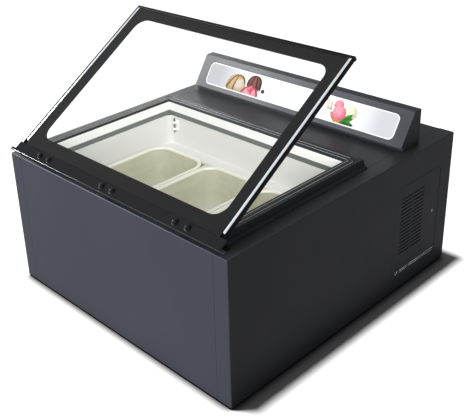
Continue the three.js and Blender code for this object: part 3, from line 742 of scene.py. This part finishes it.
def right_side_panel():
    """Its cut-out for the side cover has a rolled rim."""
    sheet = folded_sheet("right_side_panel", (RIGHT, FRONT, TOP))
    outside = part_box("right_side_panel")[1].x
    levels = [(1.6, 0.4), (0.95, -0.12), (0.62, -0.45), (0.5, -1.0), (0.5, -2.5)]
    rings = [[(outside + depth * MM, y, z) for y, z in cover_loop(grow * MM)] for grow, depth in levels]
    stand_in("right_side_panel", carve(sheet, loft(rings)))


def slot_grid(left, bottom, pitch, size, counts):
    """Places of the louvre slots in columns and rows: (left, bottom, right, top) of each."""
    slots = []
    for row in range(counts[1]):
        for column in range(counts[0]):
            x, z = left + column * pitch[0], bottom + row * pitch[1]
            slots.append((x, z, x + size[0], z + size[1]))
    return slots


def louvre_blade(left, bottom, right, top):
    """The tongue pressed inwards from a slot's upper edge, curved down behind the slot."""
    thick, depth, lap = 0.9 * MM, 3.2 * MM, 0.4 * MM
    reach = top - bottom + 0.8 * MM
    outer = []
    for step in range(6):
        angle = math.radians(90 * step / 5)
        drop = reach * math.sin(angle)
        outer.append((top - drop + 0.5 * MM, -depth * (1 - math.cos(angle)) - 0.2 * MM))
    inner = [(up, back - thick) for up, back in outer]
    return along_x(outer + inner[::-1], left - lap, right + lap)


def louvred_plate(outline, slots, thickness, holes=()):
    """A plate with rows of slots, each with its pressed-in tongue."""
    rims = [rounded_loop(*slot, (slot[3] - slot[1]) * 0.45, 4) for slot in slots]
    bm = plate(outline, [*rims, *holes], thickness, edge=0.35 * MM, segments=3)
    return merged(bm, *[louvre_blade(*slot) for slot in slots])


def side_cover():
    """A louvred plate with two rows of bright beads along its hem, four lengths in each."""
    low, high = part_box("side_cover")
    screw_low, screw_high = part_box("side_cover_screw")
    middle = (screw_low + screw_high) / 2
    left, bottom = low.y + 23.5 * MM, low.z + 53.5 * MM
    pitch = ((high.y - 59.5 * MM - left) / 2, (high.z - 23.5 * MM - bottom) / 16)
    slots = slot_grid(left, bottom, pitch, (pitch[0] - 5 * MM, 4.2 * MM), (2, 16))
    hole = arc((middle.y, middle.z), 4.6 * MM, 0, 345, 23)
    bm = louvred_plate(cover_loop(0), slots, SHEET, [hole])
    stand_in("side_cover", placed(bm, on_right(high.x - HEM)))
    for row, rise in (("lower", 2.6), ("upper", 8)):
        for number, (start, end) in enumerate(((14, 24), (34, 62), (70, 120), (126, 176))):
            ends = [(high.x - HEM, low.y + y * MM, low.z + rise * MM) for y in (start, end)]
            name = f"side_cover_hem_{row}_{number + 1}"
            add(name, tube(ends, HEM), "cabinet", "bright_strip", finish=POLISHED)


def side_cover_screw():
    """A pan-head screw with a cross recess."""
    low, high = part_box("side_cover_screw")
    middle = (low + high) / 2
    radius, shank, head = 4.2 * MM, 2 * MM, SHEET
    length = high.x - low.x - head
    rim = head * 0.35
    angles = [math.radians(angle) for angle in (0, 20, 40, 60, 75, 90)]
    profile = dome(radius, rim, head - rim, angles)
    profile += [(radius, 0.02 * head), (radius * 0.97, 0), (shank, 0), (shank, -length), (0, -length)]
    recess = cross_recess(0, 0, radius * 0.62, radius * 0.13, head * 0.35, head * 1.2)
    place = on_right(high.x - head)
    place.translation += Vector((0, middle.y, middle.z))
    stand_in("side_cover_screw", placed(carve(lathe(profile, 32), *recess), place))


def flat_panel(node, holes=()):
    """A horizontal sheet with soft rims."""
    low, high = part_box(node)
    stand_in(node, slab(box_loop(low, high, 0, 0.6 * MM, 2), holes, low.z, high.z, 0.45 * MM))


def rear_loop(node, grow, radius, segments):
    """Points round a node seen from behind, as the (-x, z) that the back's placement takes."""
    low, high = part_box(node)
    return rounded_loop(-high.x - grow, low.z - grow, grow - low.x, high.z + grow, radius, segments)


def rear_panel():
    low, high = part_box("rear_panel")
    slots = slot_grid(-120 * MM, low.z + 55 * MM, (210 * MM, 14 * MM), (120 * MM, 5 * MM), (2, 11))
    holes = [rear_loop(node, 0.3 * MM, 1 * MM, 3) for node in ("controls_plate", "power_inlet")]
    bm = louvred_plate(rear_loop("rear_panel", 0, 0.6 * MM, 2), slots, high.y - low.y, holes)
    stand_in("rear_panel", placed(bm, on_rear(high.y)))


def foot(node):
    """A rubber button foot with a waist and a ribbed rim."""
    low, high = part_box(node)
    radius = (high.x - low.x) / 2
    tall = high.z
    profile = [(0, 0), (radius * 0.84, 0), (radius * 0.94, 0.3 * MM), (radius, 1.2 * MM)]
    profile += [(radius, 1.7 * MM), (radius * 0.95, 2.1 * MM), (radius * 0.95, 2.5 * MM)]
    profile += [(radius * 0.98, 2.9 * MM), (radius * 0.93, tall - 0.5 * MM), (radius * 0.88, tall), (0, tall)]
    middle = (low + high) / 2
    stand_in(node, shifted(lathe(profile), middle.x, middle.y, 0))


def make_cabinet():
    stand_in("front_panel", folded_sheet("front_panel", (FRONT, TOP)))
    stand_in("left_side_panel", folded_sheet("left_side_panel", (LEFT, FRONT, TOP)))
    right_side_panel()
    side_cover()
    side_cover_screw()
    flat_panel("top_deck", [box_loop(*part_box("opening_collar"), 1.5 * MM, 3 * MM, 3)])
    flat_panel("rear_service_cover")
    rear_panel()
    softened("base_tray", 0.3 * MM)
    for end in ("front", "rear"):
        for side in SIDES:
            foot(f"foot_{end}_{side}")


# ---- opening, liner and pans


GROOVES = {"outer": 16.3 * MM, "inner": 5.5 * MM}      # distance of each groove from the collar


def rectangle_ring(low, high, grow, radius, z, segments=8):
    return [(x, y, z) for x, y in box_loop(low, high, grow, radius, segments)]


def opening_frame():
    """An extruded frame: sloping foot, stepped outside, two round-bottomed grooves in its top."""
    low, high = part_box("opening_frame")
    inner_low, inner_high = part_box("opening_collar")
    widths = (high.x - inner_high.x, inner_low.y - low.y, high.y - inner_high.y)
    def ring(side, front, back, z):
        corners = (inner_low.x - side, inner_low.y - front, inner_high.x + side, inner_high.y + back)
        return [(x, y, z) for x, y in rounded_loop(*corners, 0.3 * MM, 1)]
    rings = []
    for z, insets in (
        (low.z, (0, 0, 0)),
        (low.z + 1.2 * MM, (0, 0, 0)),
        (low.z + 6 * MM, (6, 0.5, 1)),
        (high.z - 1.6 * MM, (8.6, 2, 2.6)),
        (high.z, (10, 3.4, 4)),
    ):
        rings.append(ring(*[width - inset * MM for width, inset in zip(widths, insets)], z))
    for middle in GROOVES.values():
        for angle in (0, 20, 45, 90, 135, 160, 180):
            a = math.radians(angle)
            out = middle + 1.7 * MM * math.cos(a)
            rings.append(ring(out, out, out, high.z - 1.2 * MM * math.sin(a)))
    inside = 0.5 * MM
    rings += [ring(inside, inside, inside, z) for z in (high.z, low.z)]
    stand_in("opening_frame", soften(loft(rings, closed=True), 0.35 * MM, 2, 28))


def frame_beads():
    """Bright wires laid in the frame's two grooves; their pale colour paints the highlight along the grooves'
    edges.
    """
    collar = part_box("opening_collar")
    radius = 0.8 * MM
    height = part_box("opening_frame")[1].z - radius - 0.1 * MM
    for place, middle in GROOVES.items():
        wire = arc((middle, height), radius, 0, 315, 7)
        rings = [rectangle_ring(*collar, x, 1 * MM + x, z, 3) for x, z in wire]
        # painted highlight: the pale beads stand for the light caught by the groove edges
        add(f"opening_frame_bead_{place}", loft(rings, closed=True), "cabinet", "bright_strip")


def band(node, inner_profile):
    """A ring round the opening from (inward reach, height) points of its inner face."""
    low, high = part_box(node)
    profile = [*inner_profile, (0, high.z), (0, low.z)]
    rings = [rectangle_ring(low, high, -reach, 3.5 * MM - reach, z, 4) for reach, z in profile]
    stand_in(node, loft(rings, closed=True))


def opening_collar():
    low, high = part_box("opening_collar")
    wall, curl = 2.5 * MM, 1 * MM
    band("opening_collar", [(wall, low.z), *arc((wall - curl, high.z - curl), curl, 0, 90, 5)])


def lid_gasket():
    """Two rounded lips with a waist between them."""
    low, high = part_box("lid_gasket")
    lip = (high.z - low.z) / 2
    profile = []
    for base in (low.z, low.z + lip):
        for step in range(9):
            angle = math.pi * step / 8
            z = base + lip * (0.5 - 0.5 * math.cos(angle))
            profile.append((1.1 * MM + 1.4 * MM * math.sin(angle) ** 0.7, z))
    band("lid_gasket", profile)


def inner_liner():
    """A vacuum-formed tub: straight mouth, rounded ledge all round, lower tub with a rounded floor."""
    low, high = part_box("inner_liner")
    wall, half = 1.5 * MM, 262 * MM
    mouth = (Vector((low.x + wall, low.y + wall, 0)), Vector((high.x - wall, high.y - wall, 0)))
    lower = (Vector((-half, mouth[0].y + 10 * MM, 0)), Vector((half, mouth[1].y - 49 * MM, 0)))
    ledge, floor = 240 * MM, low.z + wall
    bend, fillet = 4 * MM, 14 * MM
    rings = [rectangle_ring(*mouth, 0, 16 * MM, high.z)]
    for plan, corner, curve in (
        (mouth, 16 * MM, arc((-bend, ledge + bend), bend, 0, -90, 5)),
        (lower, 24 * MM, arc((bend, ledge - bend), bend, 90, 180, 5)),
        (lower, 24 * MM, arc((-fillet, floor + fillet), fillet, 0, -90, 6)),
    ):
        rings += [rectangle_ring(*plan, grow, corner + grow, z) for grow, z in curve]
    stand_in("inner_liner", tub(rings, 1.2 * MM))


def pan(node):
    """A deep-drawn pan: rolled rim, drafted walls, generous corners."""
    low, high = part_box(node)
    depth = (high.z - low.z) / MM - 0.8
    fillet = 12
    floor_inset = 15.5 + fillet
    profile = [(1.0, -5.2), (0.35, -5.2), (0.0, -4.8)]
    profile += at_angles((1.3, -1.3), 1.3, (180, 158, 135, 113, 90))
    profile += at_angles((5.4, -3.8), 3.8, (90, 72, 54, 36, 18, 2))
    profile += [(9.6, -12), (11.4, -50), (13.4, -90)]
    profile += arc((floor_inset, fillet - depth), fillet, 180, 270, 5)
    profile += [(floor_inset + 20, -depth), (floor_inset + 42, -depth + 0.3)]
    rings = []
    for inset, drop in profile:
        radius = max(46 - 0.85 * inset, 3)
        rings.append(rectangle_ring(low, high, -inset * MM, radius * MM, high.z + drop * MM, 12))
    stand_in(node, tub(rings, 0.7 * MM))


def pan_rack():
    """Flat bars round three openings, with soft edges."""
    low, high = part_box("pan_rack")
    side, end, corner = 6 * MM, 8 * MM, 6 * MM
    holes = []
    for node in PANS:
        pan_low, pan_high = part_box(node)
        hole = (pan_low.x + side, low.y + end, pan_high.x - side, high.y - end)
        holes.append(rounded_loop(*hole, corner, 5))
    stand_in("pan_rack", slab(box_loop(low, high, 0, corner, 5), holes, low.z, high.z, 1.2 * MM))


def temperature_probe():
    """A steel bulb in a white clip with two arms."""
    low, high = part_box("temperature_probe")
    middle = (low + high) / 2
    centre_y = high.y - 7.4 * MM
    thick, half = 3 * MM, 14 * MM
    base = block((low.x, high.y - thick, middle.z - half), (high.x, high.y, middle.z + half), 1 * MM, 3)
    for z in (-9, 9):
        profile = [(0, -2.6), (5, -2.6), (5.4, -2), (5.4, 2), (5, 2.6), (0, 2.6)]
        arm = lathe([(radius * MM, height * MM) for radius, height in profile], 28)
        merged(base, shifted(arm, middle.x, centre_y, middle.z + z * MM))
    stand_in("temperature_probe", base)
    rise, fall, radius = high.z - 2 * MM, low.z + 2 * MM, 3 * MM
    profile = dome(radius, fall + radius, -radius, (0, 0.4, 0.8, 1.2, 1.57))
    profile += [(radius, rise - 4 * MM), (radius * 0.6, rise - 2 * MM), (radius * 0.6, rise), (0, rise)]
    add("probe_bulb", shifted(lathe(profile, 24), middle.x, centre_y, 0), "cabinet", "pin_steel")


def evaporator_coil():
    """A copper pipe wound round the tub, one smooth helix with rounded corners."""
    low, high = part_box("evaporator_coil")
    radius, turns = 3.5 * MM, 3
    loop = box_loop(low, high, -radius, 30 * MM)
    steps = turns * len(loop)
    rise = (high.z - low.z - 2 * radius) / steps
    points = [(*loop[step % len(loop)], low.z + radius + rise * step) for step in range(steps + 1)]
    stand_in("evaporator_coil", tube(points, radius, 14))


def make_opening():
    opening_frame()
    frame_beads()
    opening_collar()
    lid_gasket()
    inner_liner()
    softened("foam_tub", 1.5 * MM, 2, 40)
    evaporator_coil()
    temperature_probe()
    pan_rack()
    for node in PANS:
        pan(node)


# ---- sign


LENS_CORNER = 13.7 * MM


def sign_outline(inset):
    """(y, z) corners of the wedge's end, moved inwards."""
    foot = SIGN_LOW.z + SIGN_LIP + inset
    recess = SIGN_LOW.y + SIGN_RECESS + inset
    return [
        (recess, SIGN_LOW.z + inset),
        (SIGN_HIGH.y - inset, SIGN_LOW.z + inset),
        (SIGN_HIGH.y - inset, SIGN_HIGH.z - inset),
        (SIGN_LOW.y + SIGN_RIDGE + inset * 0.5, SIGN_HIGH.z - inset),
        (SIGN_LOW.y + inset * 1.9, foot),
        (recess, foot),
    ]


def lens_loop(grow):
    """The lens outline on the sloping face, (x, distance up the slope)."""
    low, high = box_in(SIGN, "sign_lens")
    half = high.x + grow
    return rounded_loop(-half, low.y - grow, half, high.y + grow, LENS_CORNER + grow)


def sign_housing():
    """A bent-sheet wedge with rounded folds; its window has a rolled rim."""
    wall, margin = 2 * MM, 0.3 * MM
    shell = soften(along_x(sign_outline(0), SIGN_LOW.x, SIGN_HIGH.x), 1.2 * MM, 4)
    hollow = along_x(sign_outline(wall), SIGN_LOW.x + wall, SIGN_HIGH.x - wall)
    back_low, back_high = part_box("sign_back_cover")
    mouth = block(
        (back_low.x - margin, SIGN_HIGH.y - 8 * MM, back_low.z - margin),
        (back_high.x + margin, SIGN_HIGH.y + 2 * MM, back_high.z + margin),
    )
    rings = []
    for grow, height in ((1.6, 0.5), (0.95, -0.15), (0.5, -0.6), (0.3, -1.2), (0.3, -8)):
        rings.append([SIGN @ Vector((x, y, height * MM)) for x, y in lens_loop(grow * MM)])
    stand_in("sign_housing", carve(shell, hollow, mouth, loft(rings)))


def on_sign(outline, holes, thickness, edge, height):
    """A plate lying on the sign's sloping face, its top at the given height over it."""
    bm = plate(outline, holes, thickness, edge, 2)
    return placed(bm, SIGN @ Matrix.Translation((0, 0, height)))


def sign_lens():
    """An opal panel with a slightly raised white border."""
    stand_in("sign_lens", on_sign(lens_loop(0), (), 1.6 * MM, 0.25 * MM, -0.7 * MM))
    border = on_sign(lens_loop(0), [lens_loop(-2.4 * MM)], 0.5 * MM, 0.2 * MM, -0.25 * MM)
    add("sign_lens_border", border, "cabinet", "white_plastic")


PRINT = 0.1 * MM
PICTURE_FLOOR = 14         # millimetres up the slope, where the picture is cut off


def printed(name, shade, light, x, up, radius):
    """Printed colour: lighter towards the middle of its patch, with fine mottling."""
    dark, pale = rgb(*shade), rgb(*light)
    surface = Surface(name, pale, 0.3)
    centre = SIGN @ Vector(((x - radius * 0.2) * MM, (up + radius * 0.25) * MM, 0))
    size = radius * 1.25 * MM
    place = surface.coordinates((1 / size, 1 / size, 1 / size))
    place.node.inputs["Location"].default_value = -centre / size
    ball = surface.node("ShaderNodeTexGradient", {"Vector": place})
    ball.gradient_type = "SPHERICAL"
    both = surface.maths("ADD", ball.outputs["Fac"], surface.noise(260, 4))
    tone = surface.ranged(both, 0, 1, 0.45, 1.2)
    return surface.set("Base Color", surface.mixed(tone, dark, pale)).material


def art(name, outline, layer, finish):
    """One patch of the sign's picture, from (x, up the slope) points in millimetres."""
    loop = [(x * MM, max(up, PICTURE_FLOOR) * MM) for x, up in outline]
    add(name, on_sign(loop, (), PRINT, 0.02 * MM, PRINT * (layer - 6)), "cabinet", "lens", finish=finish)


def scoop_outline(x, up, radius):
    """A ball with a frill of five bumps round its lower half."""
    points = []
    for step in range(96):
        angle = 2 * math.pi * step / 96
        frill = 0.16 * max(0, -math.sin(angle)) ** 0.5 * abs(math.sin(5 * angle))
        reach = radius * (0.94 + frill)
        points.append((x + reach * math.cos(angle), up + reach * math.sin(angle) * 0.9))
    return points


def drip_outline(curve, width):
    """A run of sauce along a curve, fuller towards its rounded end."""
    path = interpolate_bezier(*[Vector(point) for point in curve], 17)
    sides = ([], [])
    for step, point in enumerate(path):
        ahead = path[min(step + 1, 16)] - path[max(step - 1, 0)]
        across = Vector((-ahead.y, ahead.x)).normalized()
        half = width * (0.3 + 0.2 * step / 16) * min(1, (17 - step) / 3) ** 0.5
        for side, sign in zip(sides, (1, -1)):
            side.append(point.xy + across * sign * half)
    return [(x, up) for x, up in sides[0] + sides[1][::-1]]


def turned(outline, x, up, turn):
    """An outline turned by an angle in degrees and moved to its place."""
    cosine, sine = math.cos(math.radians(turn)), math.sin(math.radians(turn))
    return [(x + u * cosine - v * sine, up + u * sine + v * cosine) for u, v in outline]


def leaf_outline(length, width):
    edge = [(length * k / 8, width / 2 * math.sin(math.pi * k / 8) ** 0.8) for k in range(9)]
    return edge[:-1] + [(u, -v) for u, v in edge[:0:-1]]


def wafer_outline(width, tall):
    return rounded_loop(-width / 2, -tall / 2, width / 2, tall / 2, 1.2, 3)


SCOOPS = {
    "caramel": (-190, 31, 33, 0, (146, 104, 56), (226, 194, 142)),
    "vanilla": (-177, 31, 21, 1, (186, 150, 118), (240, 222, 202)),
    "chocolate": (-131, 47, 25, 0, (64, 30, 26), (146, 92, 78)),
    "cocoa": (-97, 33, 6, 0, (34, 14, 12), (96, 56, 48)),
    "cherry": (-136, 14, 29, 3, (214, 92, 116), (246, 172, 186)),
    "glaze": (-138, 31, 10, 4, (204, 66, 80), (244, 136, 140)),
    "cream": (168, 45, 20, 0, (186, 176, 128), (236, 232, 204)),
    "rose_high": (133, 56, 14, 2, (204, 80, 100), (240, 156, 168)),
    "rose_low": (140, 38, 20, 3, (206, 84, 108), (238, 160, 172)),
}
DRIPS = {
    "caramel": (2, (84, 46, 16), (150, 92, 40), (
        ((-190, 58), (-206, 52), (-212, 34), (-219, 18)),
        ((-189, 58), (-192, 44), (-199, 30), (-195, 15)),
        ((-187, 58), (-172, 58), (-165, 50), (-162, 38)),
    )),
    "chocolate": (2, (24, 8, 8), (66, 28, 24), (
        ((-136, 66), (-150, 62), (-154, 50), (-152, 36)),
        ((-134, 67), (-140, 54), (-142, 44), (-139, 32)),
        ((-130, 67), (-124, 56), (-124, 42), (-119, 26)),
        ((-126, 66), (-110, 60), (-107, 46), (-109, 30)),
    )),
    "cherry": (5, (140, 14, 34), (204, 44, 62), (
        ((-140, 37), (-154, 34), (-160, 26), (-164, 16)),
        ((-137, 34), (-133, 30), (-136, 22), (-132, 17)),
        ((-134, 37), (-120, 34), (-114, 26), (-110, 15)),
    )),
}
LEAVES = ((150, 19, 34, 13, 22), (152, 15, 36, 14, 4), (158, 22, 28, 12, 44), (148, 16, 30, 12, 0))


def sign_picture():
    """A plain dessert picture: scoops of ice cream, a bowl, a wafer and leaves."""
    for flavour, (x, up, radius, layer, shade, light) in SCOOPS.items():
        finish = printed(f"print_{flavour}", shade, light, x, up, radius)
        art(f"picture_scoop_{flavour}", scoop_outline(x, up, radius), layer, finish)
    for flavour, (layer, shade, light, curves) in DRIPS.items():
        finish = printed(f"print_{flavour}_sauce", shade, light, *SCOOPS[flavour][:3])
        for number, curve in enumerate(curves):
            art(f"picture_sauce_{flavour}_{number + 1}", drip_outline(curve, 5), layer, finish)
    wafer = printed("print_wafer", (176, 140, 110), (232, 208, 184), 106, 50, 16)
    art("picture_wafer_left", turned(wafer_outline(8, 27), 103, 51, 24), 0, wafer)
    art("picture_wafer_right", turned(wafer_outline(6, 22), 113, 50, 12), 1, wafer)
    bowl = printed("print_bowl", (132, 68, 30), (214, 146, 78), 142, 22, 26)
    art("picture_bowl", [(115, 36), (121, 23), (132, 14), (170, 14), (176, 22), (178, 34)], 1, bowl)
    leaf = printed("print_leaf", (18, 78, 26), (72, 146, 56), 166, 24, 22)
    for number, (x, up, length, width, turn) in enumerate(LEAVES):
        outline = turned(leaf_outline(length, width), x, up, turn)
        art(f"picture_leaf_{number + 1}", outline, 4 + number % 2, leaf)


def make_sign():
    sign_housing()
    sign_lens()
    sign_picture()
    softened("sign_light_board", 0.15 * MM)
    softened("sign_back_cover", 0.4 * MM)


# ---- lid


WINDOW = (-286 * MM, 34.9 * MM, 286 * MM, 414.3 * MM)      # corners of the frame's window
WINDOW_CORNER = 30 * MM


def on_lid(bm):
    return placed(bm, LID)


def lid_frame():
    """The black border: a plate with a round-cornered window, and an upstand along each side."""
    low, high = lid_box("lid_frame")
    glass_low = lid_box("lid_glass")[0]
    strip_high = lid_box("lid_strip_right")[1]
    top = glass_low.z - 0.3 * MM
    window = rounded_loop(*WINDOW, WINDOW_CORNER, 14)
    bm = slab(box_loop(low, high, 0, 2 * MM, 3), [window], low.z, top, 0.5 * MM)
    for side in SIDES.values():
        x0, x1 = sorted((side * (strip_high.x + 0.3 * MM), side * high.x))
        merged(bm, block((x0, glass_low.y, top - 1 * MM), (x1, high.y, high.z), 0.6 * MM, 3))
    stand_in("lid_frame", on_lid(bm))


def lid_glass():
    low, high = lid_box("lid_glass")
    pane = slab(box_loop(low, high, 0, 1.5 * MM, 4), (), low.z, high.z, 0.5 * MM)
    stand_in("lid_glass", on_lid(pane)).visible_shadow = False


def lid_strip(side):
    """A polished trim strip with a rounded end by the hinge."""
    node = f"lid_strip_{side}"
    low, high = lid_box(node)
    radius = (high.x - low.x) / 2 - 0.2 * MM
    start = low.y + 9 * MM + radius
    outline = [(high.x, start), (high.x, high.y), (low.x, high.y), (low.x, start)]
    outline += arc(((low.x + high.x) / 2, start), radius + 0.2 * MM, 180, 360, 10)[1:-1]
    stand_in(node, on_lid(slab(outline, (), low.z, high.z, 0.8 * MM)))


def lid_hinge_bar():
    """A black bar with a polished bead along its front upper edge."""
    softened("lid_hinge_bar", 1.1 * MM, 4).data.materials[0] = BAR_BLACK
    low, high = lid_box("lid_hinge_bar")
    radius = 0.8 * MM
    ends = [(x, low.y + radius, high.z - radius * 0.5) for x in (low.x + 1 * MM, high.x - 1 * MM)]
    bead = on_lid(tube(ends, radius, 14))
    add("lid_hinge_bar_edge", bead, "lid", "bright_strip", finish=POLISHED)


def lid_screw(node):
    """A domed cap with a cross recess over a washer rim."""
    low, high = lid_box(node)
    middle = (low + high) / 2
    seat = lid_box("lid_frame")[1].z
    radius, tall, shank = (high.x - low.x) / 2, high.z - seat, 2 * MM
    under, brim, cap = seat + 0.3 * MM, seat + tall * 0.16, tall * 0.78
    profile = dome(radius * 0.86, high.z - cap, cap, (0, 0.2, 0.4, 0.6, 0.8, 1.0, 1.2, 1.4))
    profile += [(radius * 0.88, brim), (radius * 0.98, brim - 0.2 * MM), (radius, brim - 0.6 * MM)]
    profile += [(radius, under), (shank, under), (shank, low.z), (0, low.z)]
    bm = shifted(lathe(profile), middle.x, middle.y, 0)
    recess = cross_recess(middle.x, middle.y, 2.4 * MM, 0.5 * MM, high.z - 1.8 * MM, high.z + 1 * MM)
    stand_in(node, on_lid(carve(bm, *recess)))


def hinge_pin(node):
    low, high = lid_box(node)
    radius, half, chamfer = (high.z - low.z) / 2, (high.x - low.x) / 2, 0.5 * MM
    profile = [(0, -half), (radius - chamfer, -half), (radius, -half + chamfer)]
    profile += [(radius, half - chamfer), (radius - chamfer, half), (0, half)]
    bm = placed(lathe(profile, 32), Matrix.Rotation(math.pi / 2, 4, "Y"))
    stand_in(node, on_lid(shifted(bm, (low.x + high.x) / 2, 0, 0)))


def make_lid():
    lid_frame()
    lid_glass()
    for side in SIDES:
        lid_strip(side)
    lid_hinge_bar()
    softened("lid_handle_rail", 1.0 * MM, 3)
    for number in range(1, 7):
        lid_screw(f"lid_screw_{number}")
    for place in ("left", "middle", "right"):
        hinge_pin(f"hinge_pin_{place}")
        softened(f"hinge_leaf_{place}", 0.3 * MM)
    softened("hinge_rail", 0.4 * MM)


# ---- refrigeration unit and controls


WORKS = {
    "condenser": 0.3, "fan_shroud": 0.5, "fan_motor": 1.5, "fan_rotor": 0.3, "controls_plate": 0.5,
    "key_up": 0.6, "key_down": 0.6, "power_rocker": 0.4, "power_inlet": 0.4,
}


def make_works():
    softened("compressor", 2 * MM, 2, 26)
    for node, radius in WORKS.items():
        softened(node, radius * MM)


# ---- the whole scene


make_stage()
make_cabinet()
make_opening()
make_sign()
make_lid()
make_works()
make_lights()
